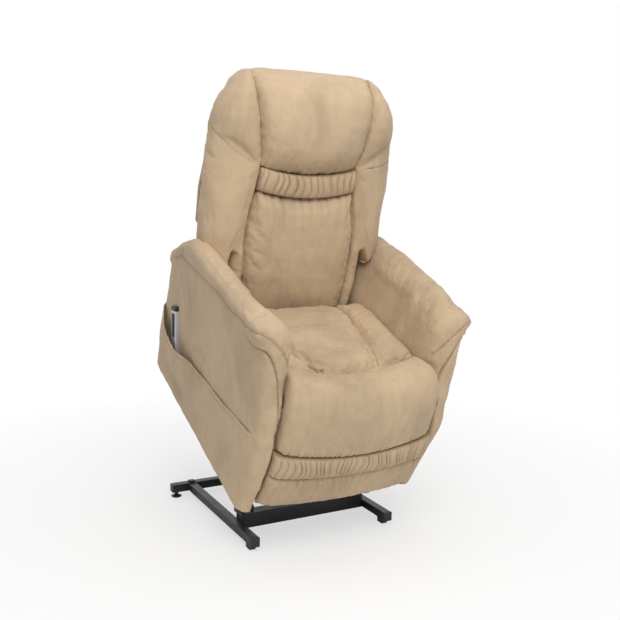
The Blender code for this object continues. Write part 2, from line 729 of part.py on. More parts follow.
# ================================================================== seat frame
def make_seat_frame(body):
    """Welded seat frame, mechanism plates, springs and the drives' ears."""
    rail_v = SEAT_RAIL_V + SEAT_RAIL_HEIGHT / 2
    rail_inner = PLATE_X + MECH_PLATE + GAP
    rail_width = SIDE_INNER_X - GAP - rail_inner
    front_u = FRONT_RAIL_U - SEAT_RAIL_DEPTH / 2
    rear_u = REAR_RAIL_U - SEAT_RAIL_DEPTH / 2
    frame = box_part("seat_frame",
                     (2 * (SIDE_INNER_X - 0.002), SEAT_RAIL_DEPTH, SEAT_RAIL_HEIGHT),
                     at(0, front_u, rail_v), BLACK_STEEL, body)
    sides = []
    for side in (-1, 1):
        sides.append(box_mesh((rail_width, front_u - SIDE_RAIL_REAR_U,
                               SEAT_RAIL_HEIGHT - 0.001),
                              at(side * (rail_inner + rail_width / 2),
                                 (front_u + SIDE_RAIL_REAR_U) / 2, rail_v)))
    weld(frame, "side rails", sides)
    weld(frame, "rear rail", [box_mesh((2 * (SIDE_INNER_X - 0.012), SEAT_RAIL_DEPTH,
                                        SEAT_RAIL_HEIGHT), at(0, rear_u, rail_v))])
    rear = tail_ears((-LEGREST_TAIL[0], LEGREST_TAIL[1]), SIDE_DRIVE_X, SEAT_RAIL_V,
                     -rear_u)
    front = tail_ears((-BACK_TAIL[0], BACK_TAIL[1]), -SIDE_DRIVE_X, SEAT_RAIL_V,
                      -front_u)
    weld(frame, "drive ears", rear[0] + front[0] + legrest_brackets())
    weld(frame, "drive ear pins", [rear[1], front[1]] + legrest_studs())
    make_mechanism_plates(body)
    make_springs(body)


def make_mechanism_plates(body):
    """The two plates that join lift arms, recline hinge and seat frame."""
    rim = hull_outline([(-BACK_PIVOT[0], BACK_PIVOT[1], MECH_HUB),
                        (-REAR_ARM_TOP[0], REAR_ARM_TOP[1], MECH_HUB),
                        (-FRONT_ARM_TOP[0], FRONT_ARM_TOP[1], MECH_HUB),
                        (0.250, SEAT_RAIL_V + SEAT_RAIL_HEIGHT / 2,
                         SEAT_RAIL_HEIGHT / 2)])
    holes = [circle_outline(0.445, 0.215, LIGHTENING_HOLE, 24),
             circle_outline(0.360, 0.262, LIGHTENING_HOLE * 0.6, 20)]
    inside = PLATE_X + 0.002
    head = PIN_HEAD_RADIUS
    front_end = FRONT_ARM_X - GAP
    rear_end = BRACKET_X - SIDE_PLAY - ARM_PLATE - GAP
    rear_face = BRACKET_X - SIDE_PLAY + GAP
    front = [(inside, 0.0), (inside, PIN_RADIUS), (front_end, PIN_RADIUS),
             (front_end, head), (front_end - PIN_HEAD, head),
             (front_end - PIN_HEAD, 0.0)]
    rear = [(inside, 0.0), (inside, head), (rear_face, head), (rear_face, PIN_RADIUS),
            (rear_end, PIN_RADIUS), (rear_end, head), (rear_end - PIN_HEAD, head),
            (rear_end - PIN_HEAD, 0.0)]
    hinge = UPRIGHT_X + UPRIGHT_WIDTH + GAP
    recline = [(inside, 0.0), (inside, PIN_RADIUS), (hinge, PIN_RADIUS), (hinge, 0.0)]
    for side, word in SIDES:
        plate = side_plate(f"{word}_mechanism_plate", side, [rim, *holes], MECH_PLATE,
                           PLATE_X, BLACK_STEEL, body)
        weld(plate, f"{word} mechanism studs",
             [stepped_stud(side, front, at(0, *FRONT_ARM_TOP)),
              stepped_stud(side, rear, at(0, *REAR_ARM_TOP)),
              stepped_stud(side, recline, at(0, *BACK_PIVOT))])


def stepped_stud(side, points, place):
    """A turned stud from (x, radius) points given for the +X side."""
    stud = profile_mesh("stud", [(side * x, radius) for x, radius in points], 12)
    stud.transform(Matrix.Translation(place))
    return stud


def make_springs(body):
    """Zigzag seat springs joined by a flat clip strip on each cross rail."""
    start = REAR_RAIL_U - SEAT_RAIL_DEPTH + 0.004
    end = FRONT_RAIL_U - 0.004
    low = SEAT_RAIL_V + SEAT_RAIL_HEIGHT + GAP
    strip = (2 * SPRING_PITCH * (SPRING_COUNT - 1) / 2 + 0.07, 0.016, 2 * SPRING_WIRE)
    springs = box_part("seat_springs", strip, at(0, start + 0.010, low + SPRING_WIRE),
                       ZINC, body)
    per_bend = 4
    count = SPRING_BENDS * per_bend
    wires = []
    for index in range(SPRING_COUNT):
        x0 = (index - (SPRING_COUNT - 1) / 2) * SPRING_PITCH
        points = []
        for step in range(count + 1):
            phase = math.pi * step / per_bend
            u = mix(start, end, step / count) + 0.004 * math.sin(2 * phase)
            points.append(at(x0 + SPRING_WAVE * math.sin(phase), u, low + SPRING_WIRE))
        wires.append(wire_mesh("spring", points, SPRING_WIRE * 0.9))
    weld(springs, "zigzag wires", wires)
    weld(springs, "front clip strip",
         [box_mesh(strip, at(0, end - 0.010, low + SPRING_WIRE))])


def wire_mesh(name, points, radius):
    """A square-section wire along a path, as a mesh."""
    curve = bpy.data.curves.new(name, "CURVE")
    curve.dimensions = "3D"
    curve.bevel_depth = radius
    curve.bevel_resolution = 0
    curve.use_fill_caps = True
    spline = curve.splines.new("POLY")
    spline.points.add(len(points) - 1)
    for point, place in zip(spline.points, points):
        point.co = (*place, 1.0)
    wire = bpy.data.objects.new(name, curve)
    bpy.context.scene.collection.objects.link(wire)
    graph = bpy.context.evaluated_depsgraph_get()
    mesh = bpy.data.meshes.new_from_object(wire.evaluated_get(graph))
    bpy.data.objects.remove(wire)
    bm = bmesh.new()
    bm.from_mesh(mesh)
    bmesh.ops.remove_doubles(bm, verts=bm.verts, dist=1e-5)
    return mesh_from(bm, name)


def legrest_brackets():
    """Meshes of the outer plates from the front rail to the legrest pivots."""
    root_p = -FRONT_RAIL_U
    rim = hull_outline([(-LEGREST_PIVOT[0], LEGREST_PIVOT[1], 0.014),
                        (root_p, SEAT_RAIL_V + 0.006, 0.005),
                        (root_p, SEAT_RAIL_V + SEAT_RAIL_HEIGHT - 0.006, 0.005)], 20)
    x = LEGREST_BRACKET_X + LEGREST_ARM / 2
    return [plate_mesh("bracket", [rim], LEGREST_ARM, side * x) for side in (-1, 1)]


def legrest_studs():
    """Meshes of the studs that the legrest turns on."""
    outer = LEGREST_BRACKET_X + LEGREST_ARM / 2
    inner = LEGREST_ARM_X - GAP
    profile = [(outer, 0.0), (outer, PIN_RADIUS), (inner, PIN_RADIUS),
               (inner, PIN_HEAD_RADIUS), (inner - PIN_HEAD, PIN_HEAD_RADIUS),
               (inner - PIN_HEAD, 0.0)]
    return [stepped_stud(side, profile, at(0, *LEGREST_PIVOT)) for side in (-1, 1)]


# ================================================================== legrest

def make_legrest(axis):
    """The legrest's steel frame and board, and the three padded front pieces."""
    strap_u = -0.004
    strap = box_mesh((2 * (LEGREST_ARM_X + 0.002), BOARD_REAR_U - GAP - strap_u, 0.020),
                     on_legrest(0, (BOARD_REAR_U - GAP + strap_u) / 2, 0.300))
    frame = finish_object("legrest_frame", strap, BLACK_STEEL, axis)
    rim = hull_outline([(0, 0, 0.012), (0, -0.330, 0.010)], 20)
    hole = circle_outline(0, 0, PIN_RADIUS + RUNNING)
    arms = []
    for side in (-1, 1):
        arms.append(plate_mesh("arm", [rim, hole], LEGREST_ARM,
                               side * (LEGREST_ARM_X + LEGREST_ARM / 2)))
    root_p = -(BOARD_REAR_U - GAP) + 0.0035
    tip_v = LEGREST_LEVER * math.sin(LEGREST_LEVER_ANGLE)
    ears, pin = lever(LEGREST_LEVER, LEGREST_LEVER_ANGLE, SIDE_DRIVE_X,
                      [(root_p, -0.100), (root_p, tip_v + 0.006)])
    weld(frame, "legrest arms and ears", arms + ears)
    weld(frame, "legrest lever pin", [pin])
    board_top = LEGREST_PIVOT[1] - 0.016
    board_low = PAD_LOW_V + 0.020
    board_u = BOARD_REAR_U + BOARD_THICKNESS / 2
    box_part("legrest_board", (2 * BOARD_HALF, BOARD_THICKNESS, board_top - board_low),
             on_legrest(0, board_u, (board_top + board_low) / 2), PLYWOOD, axis, 0.002)
    make_front_pads(axis)


def lever(radius, angle, x, root):
    """Meshes of two ears, and of the pin, that a drive's rod turns about an axis."""
    tip = (-radius * math.cos(angle), radius * math.sin(angle))
    rim = hull_outline([(*tip, 0.0085), *((*point, 0.003) for point in root)], 20)
    ears = []
    for side in (-1, 1):
        centre = x + side * (EAR_HALF_GAP + EAR_PLATE / 2)
        ears.append(plate_mesh("ear", [rim], EAR_PLATE, centre))
    reach = EAR_HALF_GAP + EAR_PLATE + PIN_HEAD
    return ears, rod_mesh((x - reach, *tip), (x + reach, *tip), 0.004, 12)


def pad_front(v):
    """How far forward the legrest pad stands at height v, at its middle."""
    table = [(0.0, 0.052), (0.10, 0.070), (0.17, 0.090), (0.22, 0.108), (0.27, 0.098),
             (0.33, 0.112), (0.40, 0.112), (0.50, 0.095)]
    return smooth_table(table, v)


def pad_half(v):
    """Half the width of the legrest pad at height v."""
    table = [(0.0, 0.272), (0.17, 0.266), (0.26, 0.272), (0.35, PAD_HALF), (0.45, 0.275)]
    return smooth_table(table, v)


def make_front_pads(axis):
    """Upper pad, gathered band and lower pad on the front of the legrest board."""
    rear_u = BOARD_REAR_U + BOARD_THICKNESS + GAP

    def panel(low, high, bulge, edge_drop, sag_low, sag_high):
        def shape(a, b, c):
            sag = mix(sag_low, sag_high, b) * (1 - (2 * a - 1) ** 2)
            v = mix(low, high, b) - sag * c
            half = pad_half(v) - 0.006 * (1 - c) - 0.004 * (2 * b - 1) ** 2
            x = mix(-half, half, a)
            swell = dome(a, b, 5.0)
            front = pad_front(v) - edge_drop + (edge_drop + bulge) * swell
            side_fall = 0.018 * abs(2 * a - 1) ** 6
            return on_legrest(x, mix(rear_u, front - side_fall, c), v)
        return shape

    across = spread(14, 0.6)
    sag = 0.012
    split = LEGREST_PIVOT[1] - 0.002
    soft_block("legrest_upper_pad", (across, spread(5, 0.6), [0, 0.55, 0.85, 1]),
               panel(BAND_TOP_V + SOFT_GAP, split, 0.004, 0.016, sag, 0.0),
               SUEDE, axis)
    make_gathered_band("legrest_band", axis, rear_u)
    soft_block("legrest_lower_pad", (across, spread(5, 0.6), [0, 0.55, 0.85, 1]),
               panel(PAD_LOW_V, BAND_LOW_V - SOFT_GAP, 0.006, 0.016, 0.0, sag),
               SUEDE, axis)


def make_gathered_band(name, axis, rear_u):
    """The ruched band across the legrest, gathered into upright folds."""
    folds = 17
    columns = folds * 2

    def shape(a, b, c):
        v = mix(BAND_LOW_V, BAND_TOP_V, b) - 0.012 * (1 - (2 * a - 1) ** 2) * c
        half = pad_half(v) - 0.006 * (1 - c)
        x = mix(-half, half, a)
        ripple = 0.0022 * math.cos(2 * math.pi * folds * a) * (1 - abs(2 * a - 1) ** 8)
        roll = math.sqrt(max(1 - (2 * b - 1) ** 2 * 0.92, 0.0))
        front = pad_front(v) - 0.018 + 0.022 * roll + ripple * roll
        side_fall = 0.016 * abs(2 * a - 1) ** 8
        return on_legrest(x, mix(rear_u, front - side_fall, c), v)

    soft_block(name, ([k / columns for k in range(columns + 1)], spread(4, 0.8),
                      [0, 1]), shape, SUEDE, axis)


# ================================================================== seat cushions
def seam_x(u):
    """Half the spacing of the two long seams in the seat."""
    return smooth_table([(-0.46, 0.192), (-0.28, 0.186), (-0.15, 0.150),
                         (SEAM_U, 0.106)], u)


def seat_top(u):
    """Height of the seat surface over u, at its middle."""
    return smooth_table([(-0.47, 0.452), (-0.36, 0.474), (-0.24, 0.490), (-0.13, 0.507),
                         (SEAM_U, 0.512), (0.0, 0.505)], u)


def make_seat(body):
    """Seat cushion, edge foam and the soft roll over the front edge."""
    def cushion(a, b, c):
        u = mix(SEAT_REAR_U, SEAM_U - SOFT_GAP, b)
        seam = seam_x(u)
        t = 2 * a - 1
        near, share = min(abs(t), 0.5) / 0.5, max(abs(t) - 0.5, 0.0) / 0.5
        half = mix(seam * near, SEAT_HALF, share) if share else seam * near
        x = math.copysign(half, t)
        groove = 0.008 * math.exp(-((abs(x) - seam) / 0.014) ** 2)
        swell = dome(a, b, 6.0)
        top = seat_top(u) - 0.020 + 0.028 * swell - groove
        side_in = 0.004 * math.sin(math.pi * c)
        x -= math.copysign(side_in * share, t)
        return at(x, u, mix(SEAT_BASE_V, top, c))

    half_stations = [0.0, 0.03, 0.10, 0.20, 0.245, 0.29, 0.38, 0.50]
    across = half_stations + [1 - s for s in half_stations[-2::-1]]
    soft_block("seat_cushion", (across, spread(9, 0.6), [0, 0.5, 0.85, 1]), cushion,
               SUEDE, body)
    foam_top = ROLL_BASE_V - GAP
    box_part("seat_edge_foam",
             (2 * SEAT_HALF, SEAT_EDGE_U - SEAM_U, foam_top - SEAT_BASE_V),
             at(0, (SEAT_EDGE_U + SEAM_U) / 2, (foam_top + SEAT_BASE_V) / 2),
             SUEDE_DARK, body, 0.004)
    make_front_roll(body)


def make_front_roll(body):
    """The padded roll from the cross seam over the legrest pivot to the front pad."""
    pivot_u, pivot_v = LEGREST_PIVOT
    back_run = pivot_u - (SEAM_U + SOFT_GAP)

    def shape(a, b, c):
        t = 2 * a - 1
        edge = abs(t) ** 6
        if b < 0.4:
            u = mix(SEAM_U + SOFT_GAP, pivot_u, b / 0.4)
            top = seat_top(u) - 0.004 * edge - 0.010 * (1 - b / 0.4) ** 3
            low = ROLL_BASE_V
            x = mix(-ROLL_REAR_HALF, ROLL_REAR_HALF, a)
            return at(x, u, mix(low, top - 0.012 * edge, c))
        turn = math.radians(90) * (1 - (b - 0.4) / 0.6)
        outer = mix(pad_front(pivot_v), seat_top(pivot_u) - pivot_v,
                    math.sin(turn) ** 2) + 0.010 * math.sin(2 * turn)
        radius = mix(ROLL_INNER, outer - 0.012 * edge, c)
        half = mix(ROLL_REAR_HALF, PAD_HALF - 0.004, math.cos(turn) ** 0.5)
        x = mix(-half, half, a)
        lift = GAP if turn < 1e-6 else 0.0
        return at(x, pivot_u + radius * math.cos(turn),
                  pivot_v + radius * math.sin(turn) + lift)

    columns = spread(12, 0.6)
    rows = [0.0, 0.08, 0.25, 0.4, 0.55, 0.7, 0.85, 1.0]
    soft_block("seat_front_roll", (columns, rows, [0, 0.5, 1]), shape, SUEDE, body)


# ================================================================== sides and arms
def side_front_inner(v):
    """Front edge of a side panel along its inner face."""
    return smooth_table([(0.0, 0.018), (0.16, 0.044), (0.263, 0.062), (0.394, 0.048),
                         (0.456, 0.007), (0.51, -0.040), (0.58, -0.060)], v)


def side_front_outer(v):
    """Front edge of a side panel along its outer face."""
    return smooth_table([(0.0, 0.0), (0.105, 0.008), (0.28, 0.046), (0.40, 0.042),
                         (0.50, 0.026), (0.60, 0.0)], v)


def side_rear(v):
    """Rear edge of a side panel."""
    return smooth_table([(0.0, -0.853), (0.308, -0.808), (0.546, -0.785)], v)


def arm_seam(u):
    """Height of the seam between a side panel and its arm pad."""
    return smooth_table([(-0.80, 0.484), (-0.70, 0.538), (-0.58, 0.574), (-0.45, 0.582),
                         (-0.20, ARM_SEAM_V), (-0.05, 0.588), (0.0, 0.592)], u)


def side_outer_x(v):
    """Outer face of a side panel at height v."""
    return smooth_table([(0.0, 0.3365), (0.27, 0.3450), (0.58, 0.3520)], v)


def side_bottom(u):
    """Lower edge of a side panel."""
    return mix(0.0, 0.016, -u / 0.853)


def make_side(side, word, body):
    """An upholstered side panel and the pad along its arm."""
    def panel(a, b, c):
        v_rough = mix(0.0, ARM_SEAM_V, b)
        front = mix(side_front_inner(v_rough), side_front_outer(v_rough), c)
        u = mix(side_rear(v_rough), front, a)
        v = mix(side_bottom(u), arm_seam(u) - SOFT_GAP, b)
        outer = side_outer_x(v)
        rim = 1 - abs(2 * a - 1) ** 14
        x = mix(SIDE_INNER_X, outer - 0.014 * (1 - math.sqrt(max(rim, 0.0))), c)
        return at(side * x, u, v)

    along = [0.0, 0.02, 0.08, 0.25, 0.45, 0.65, 0.82, 0.93, 0.98, 1.0]
    soft_block(f"{word}_side_panel", (along, spread(8, 0.2), [0, 1]), panel, SUEDE, body)
    make_arm_pad(side, word, body)


def make_arm_pad(side, word, body):
    """The padded arm: up the inside, over the top and down to the outer seam."""
    rear_u, front_u = -0.775, -0.018
    skin = [(ARM_INNER_X, 0.372), (ARM_INNER_X, 0.480), (ARM_INNER_X + 0.003, 0.570),
            (0.264, 0.622), (0.296, ARM_TOP_V - 0.004), (0.334, ARM_TOP_V + 0.006),
            (0.362, 0.638), (0.3560, ARM_SEAM_V)]
    core = [(SIDE_INNER_X - GAP, 0.372), (SIDE_INNER_X - GAP, 0.480),
            (SIDE_INNER_X - GAP, 0.560), (SIDE_INNER_X, ARM_SEAM_V),
            (0.300, ARM_SEAM_V), (0.318, ARM_SEAM_V), (0.335, ARM_SEAM_V),
            (0.3500, ARM_SEAM_V - 0.0004)]

    def shape(a, b, c):
        index = round(b * (len(skin) - 1))
        u = mix(rear_u, front_u, a)
        outer, inner = Vector(skin[index]), Vector(core[index])
        drop = arm_seam(u) - ARM_SEAM_V
        level = max(outer.y, ARM_SEAM_V) - ARM_SEAM_V
        rear_fall = 0.020 * max(1 - a / 0.10, 0.0) ** 2
        front_fall = 0.012 * max((a - 0.92) / 0.08, 0.0) ** 2
        flare = 0.0195 * max((a - 0.80) / 0.20, 0.0) ** 2
        weight = min(max((outer.y - 0.480) / 0.10, 0.0), 1.0)
        outer.y += drop * weight - (rear_fall + front_fall) * min(level / 0.05, 1.0)
        outer.x += flare * min(max((outer.x - 0.300) / 0.05, 0.0), 1.0)
        weight = min(max((inner.y - 0.480) / 0.08, 0.0), 1.0)
        inner.y += drop * weight + 3 * GAP
        inner.x += flare * 0.2 * min(max((inner.x - 0.300) / 0.05, 0.0), 1.0)
        lift = 0.050 * min(max((a - 0.88) / 0.07, 0.0), 1.0)
        share = 1 - min(index / 2, 1.0)
        outer.y, inner.y = outer.y + lift * share, inner.y + lift * share
        point = inner.lerp(outer, c)
        reach = 0.016 * min(max((point.y - 0.50) / 0.10, 0.0), 1.0)
        tip = max((a - 0.90) / 0.10, 0.0) ** 2
        return at(side * point.x, u + reach * tip, point.y)

    along = [0.0, 0.03, 0.10, 0.25, 0.42, 0.60, 0.76, 0.88, 0.95, 1.0]
    around = [k / (len(skin) - 1) for k in range(len(skin))]
    soft_block(f"{word}_arm_pad", (along, around, [0, 1]), shape, SUEDE, body)


def make_rear_panel(body):
    """The upholstered board that closes the chair low down behind."""
    def shape(a, b, c):
        half = SIDE_INNER_X - GAP
        x = mix(-half, half, a)
        v = mix(0.030, 0.285, b)
        swell = 0.006 * dome(a, b, 4.0)
        u = side_rear(v) + 0.022 - 0.014 * c - swell * c
        return at(x, u, v)

    soft_block("rear_lower_panel", (spread(8, 0.4), spread(5, 0.4), [0, 1]), shape,
               SUEDE, body)


# ================================================================== backrest
def back_front(h):
    """How far forward the backrest's centre panels stand at height h, at a seam."""
    return smooth_table([(0.03, 0.092), (0.12, 0.116), (0.25, 0.140), (0.3755, 0.154),
                         (0.53, 0.170), (0.60, 0.184), (0.66, 0.203), (0.75, 0.216),
                         (0.84, 0.200), (HEAD_TOP_H, 0.150)], h)


def centre_half(h):
    """Half the width of the centre panels at height h."""
    return smooth_table([(0.03, 0.186), (0.12, 0.196), (0.25, 0.207), (0.38, 0.206),
                         (0.528, 0.182), (0.606, 0.177), (0.66, 0.186), (0.78, 0.207),
                         (0.86, 0.216), (HEAD_TOP_H, 0.214)], h)


def outline_front(h):
    """Half the width of the backrest over the arms, at its widest depth."""
    return smooth_table([(0.30, 0.354), (0.40, BACK_WIDE_HALF), (0.52, BACK_WIDE_HALF),
                         (0.60, 0.356), (0.66, 0.350), (0.745, 0.338), (0.83, 0.312),
                         (0.88, 0.278), (HEAD_TOP_H, 0.226)], h)


def outline_rear(h):
    """Half the width of the backrest where the side cushions meet the outer cover."""
    return smooth_table([(0.30, 0.338), (0.40, 0.342), (0.52, 0.338), (0.60, 0.325),
                         (0.66, 0.313), (0.745, 0.293), (0.83, 0.268), (0.88, 0.243),
                         (HEAD_TOP_H, 0.206)], h)


def outline_half(h, f):
    """Half the width over the arms at height h and depth f, fuller to the front."""
    if f < COVER_FRONT:
        return outline_rear(h) - 0.45 * (COVER_FRONT - f)
    run = min((f - COVER_FRONT) / 0.085, 1.0)
    return mix(outline_rear(h), outline_front(h), run * run * (3 - 2 * run))


def back_half(h, f):
    """Half the width at height h and depth f, narrow between the arms."""
    edge = BACK_WIDE_H + BACK_WIDE_SLOPE * (0.15 - f)
    step = min(max((h - edge) / 0.022 + 0.5, 0.0), 1.0)
    return mix(BACK_LOW_HALF, outline_half(h, f), step)


def wing_seam(x):
    """Height of the seam between the wings and the bolsters at x."""
    return smooth_table([(0.17, BAND_TOP_H + 0.006), (0.25, 0.650), (0.36, 0.715)],
                        abs(x))


def band_sag(x):
    """How far the gathered band hangs at x below its ends."""
    t = min(abs(x) / 0.18, 1.0)
    return BAND_SAG * (1 - t * t)


def make_back_frame(axis):
    """Welded frame of uprights, rails and drive lever, with the recline hinge plates."""
    depth = BACK_FRAME_FRONT - BACK_FRAME_REAR
    mid_f = (BACK_FRAME_FRONT + BACK_FRAME_REAR) / 2
    low, high = 0.034, 0.780
    outer = 2 * (UPRIGHT_X + UPRIGHT_WIDTH)
    frame = box_part("back_frame", (outer, depth, 0.028), on_back(0, mid_f, low + 0.014),
                     BLACK_STEEL, axis)
    uprights = []
    for side in (-1, 1):
        x = side * (UPRIGHT_X + UPRIGHT_WIDTH / 2)
        uprights.append(box_mesh((UPRIGHT_WIDTH - 0.001, depth - 0.001, high - low - 0.01),
                                 on_back(x, mid_f, (low + high) / 2)))
    weld(frame, "uprights", uprights)
    rails = [box_mesh((outer - 0.010, depth - 0.002, 0.028), on_back(0, mid_f, h))
             for h in (0.440, high - 0.020)]
    turn = BACK_LEVER_ANGLE - BACK_LEAN
    ears, pin = lever(BACK_LEVER, turn, -SIDE_DRIVE_X,
                      [(-0.010, low + 0.006), (0.012, low + 0.006)])
    weld(frame, "back rails and ears", rails + ears)
    weld(frame, "back lever pin", [pin])
    rim = hull_outline([(0, 0, 0.017), (0.0, 0.130, 0.012)], 20)
    hole = circle_outline(0, 0, PIN_RADIUS + RUNNING)
    for side, word in SIDES:
        side_plate(f"{word}_recline_hinge", side, [rim, hole], 0.005,
                   UPRIGHT_X + UPRIGHT_WIDTH + GAP, BLACK_STEEL, axis)


def cover_rear(h):
    """How far back the outer cover's rear face stands at height h."""
    return smooth_table([(COVER_LOW_H, COVER_REAR), (0.60, COVER_REAR), (0.78, -0.030),
                         (0.86, -0.014), (HEAD_TOP_H, -0.004)], h)


def make_back_cover(axis):
    """The outer back: one upholstered shell round the rear and sides of the frame."""
    def shape(a, b, c):
        t = 2 * a - 1
        h = mix(COVER_LOW_H, HEAD_TOP_H - 0.004, b)
        rear = cover_rear(h)
        if abs(t) > 0.86:
            run = (abs(t) - 0.86) / 0.14
            f = mix(rear + 0.010, COVER_FRONT, run)
            x = back_half(h, f) - 0.002
            place = (x - c * COVER_WALL, f + c * min(COVER_WALL, COVER_FRONT - f))
        else:
            x = (back_half(h, rear + 0.010) - 0.002) * abs(t) / 0.86 * 0.965
            f = rear + 0.006 * abs(t) ** 4
            place = (x - c * COVER_WALL * abs(t) / 0.86, f + c * COVER_WALL)
        return on_back(math.copysign(place[0], t), place[1], h)

    half_stations = [0.0, 0.035, 0.068, 0.10, 0.20, 0.35, 0.5]
    across = half_stations + [1 - s for s in half_stations[-2::-1]]
    rows = [0.0, 0.15, 0.29, 0.325, 0.36, 0.41, 0.55, 0.70, 0.82, 0.91, 0.965, 1.0]
    soft_block("back_cover", (across, rows, [0, 1]), shape, SUEDE, axis)


def make_back_cushions(axis):
    """Lumbar cushion, gathered neck band, head cushion, bolsters and wings."""
    rear_f = COVER_FRONT + GAP
    core_f = BACK_FRAME_FRONT + GAP

    def centre(low, high, low_sag, high_sag, bulge, drop, rear, swell_from):
        def shape(a, b, c):
            t = 2 * a - 1
            h0 = mix(low, high, b)
            half = centre_half(h0) - SOFT_GAP
            x = t * half
            h = mix(low - low_sag * band_sag(x) / BAND_SAG,
                    high - high_sag * band_sag(x) / BAND_SAG, b)
            swell = dome(a, b, 5.0)
            rise = min(b / swell_from, 1.0)
            front = back_front(h) - drop + (drop + bulge * rise) * swell
            return on_back(x * mix(REAR_SHARE, 1.0, c), mix(rear, front, c), h)
        return shape

    across = [k / (2 * NECK_FOLDS) for k in range(2 * NECK_FOLDS + 1)]
    soft_block("lumbar_cushion", (across, spread(9, 0.5), [0, 1]),
               centre(BACK_LOW_H, BAND_LOW_H - SEAM_GAP, 0.0, BAND_SAG, 0.020, 0.016,
                      core_f, 0.35),
               SUEDE, axis)
    soft_block("head_cushion", (across, spread(8, 0.5), [0, 1]),
               centre(BAND_TOP_H + SEAM_GAP, HEAD_TOP_H, BAND_SAG, 0.0, 0.030, 0.024,
                      rear_f, 0.1),
               SUEDE, axis)
    make_neck_band(axis, core_f, across)
    for side, word in ((-1, "right"), (1, "left")):
        make_wing(f"{word}_bolster", side, axis, rear_f, True)
        make_wing(f"{word}_wing", side, axis, rear_f, False)


def make_neck_band(axis, core_f, across):
    """The ruched band under the head cushion, gathered into upright folds."""
    def shape(a, b, c):
        t = 2 * a - 1
        half = centre_half(mix(BAND_LOW_H, BAND_TOP_H, b)) - SOFT_GAP
        x = t * half
        h = mix(BAND_LOW_H, BAND_TOP_H, b) - band_sag(x)
        ripple = 0.0020 * math.cos(2 * math.pi * NECK_FOLDS * a) * (1 - abs(t) ** 8)
        roll = math.sqrt(max(1 - (2 * b - 1) ** 2 * 0.9, 0.0))
        front = back_front(h) - 0.016 + (0.024 + ripple) * roll
        front -= 0.010 * abs(t) ** 8
        return on_back(x * mix(REAR_SHARE, 1.0, c), mix(core_f, front, c), h)

    soft_block("neck_band", (across, spread(4, 0.8), [0, 1]), shape, SUEDE, axis)


def make_wing(name, side, axis, rear_f, lower):
    """A side cushion of the backrest, below or above the slanting wing seam."""
    def shape(a, b, c):
        h_inner_low = BACK_LOW_H if lower else BAND_TOP_H + 0.006 + 2.5 * SOFT_GAP
        h_inner_high = BAND_TOP_H + 0.006 - SOFT_GAP if lower else HEAD_TOP_H
        h_inner = mix(h_inner_low, h_inner_high, b)
        x_in = centre_half(h_inner) + SOFT_GAP * 0.2
        guess = mix(x_in, BACK_WIDE_HALF, a)
        seam = wing_seam(guess) - wing_seam(0.17)
        if lower:
            h = h_inner + seam * max((b - 0.55) / 0.45, 0.0)
        else:
            h = h_inner + seam * max(1 - b / 0.6, 0.0)
        depth_share = 1 - a ** 5
        front = back_front(h_inner) - 0.010
        crown = 0.014 * math.sin(math.pi * min(a * 1.3, 1.0)) * dome(0.5, b, 6.0)
        skin_f = mix(rear_f + 0.012, front, math.sqrt(max(depth_share, 0.0))) + crown
        f = mix(rear_f, skin_f, c)
        x_out = back_half(h, f) - 0.008 * c * a
        x = mix(x_in, x_out, a)
        return on_back(side * x, f, h)

    rows_low = [0.0, 0.12, 0.28, 0.42, 0.50, 0.545, 0.59, 0.64, 0.72, 0.84, 0.95, 1.0]
    rows_high = spread(7, 0.4)
    rows = rows_low if lower else rows_high
    soft_block(name, ([0.0, 0.06, 0.25, 0.5, 0.72, 0.88, 0.97, 1.0], rows, [0, 1]),
               shape, SUEDE, axis)


# ================================================================== pocket, handset
def pocket_mouth(u):
    """Height of the pocket's upper edge."""
    return smooth_table([(-0.808, 0.300), (-0.637, 0.255), (-0.559, 0.253),
                         (-0.22, 0.284), (0.03, 0.319)], u)


def pocket_offset(u, v):
    """How far the pocket's sheet stands off the side panel."""
    along = math.exp(-((u - POCKET_CENTRE_U) / 0.105) ** 4)
    forward = 0.35 * math.exp(-((u + 0.40) / 0.12) ** 2)
    rise = min(max((v - 0.10) / 0.08, 0.0), 1.0)
    rise = rise * rise * (3 - 2 * rise)
    return GAP + POCKET_BULGE * min(along + forward, 1.0) * rise


def make_pocket(body):
    """The outer pocket layer on the sitter's right side panel."""
    def shape(a, b, c):
        u = mix(-0.800, -0.010, a)
        v = mix(0.045, pocket_mouth(u), b)
        x = side_outer_x(v) + pocket_offset(u, v) + POCKET_SHEET * c
        return at(-x, u, v)

    along = [0.0, 0.08, 0.14, 0.18, 0.22, 0.26, 0.30, 0.36, 0.44, 0.54, 0.66, 0.8, 1.0]
    soft_block("side_pocket", (along, [0, 0.28, 0.42, 0.56, 0.70, 0.85, 1.0], [0, 1]),
               shape, SUEDE, body)


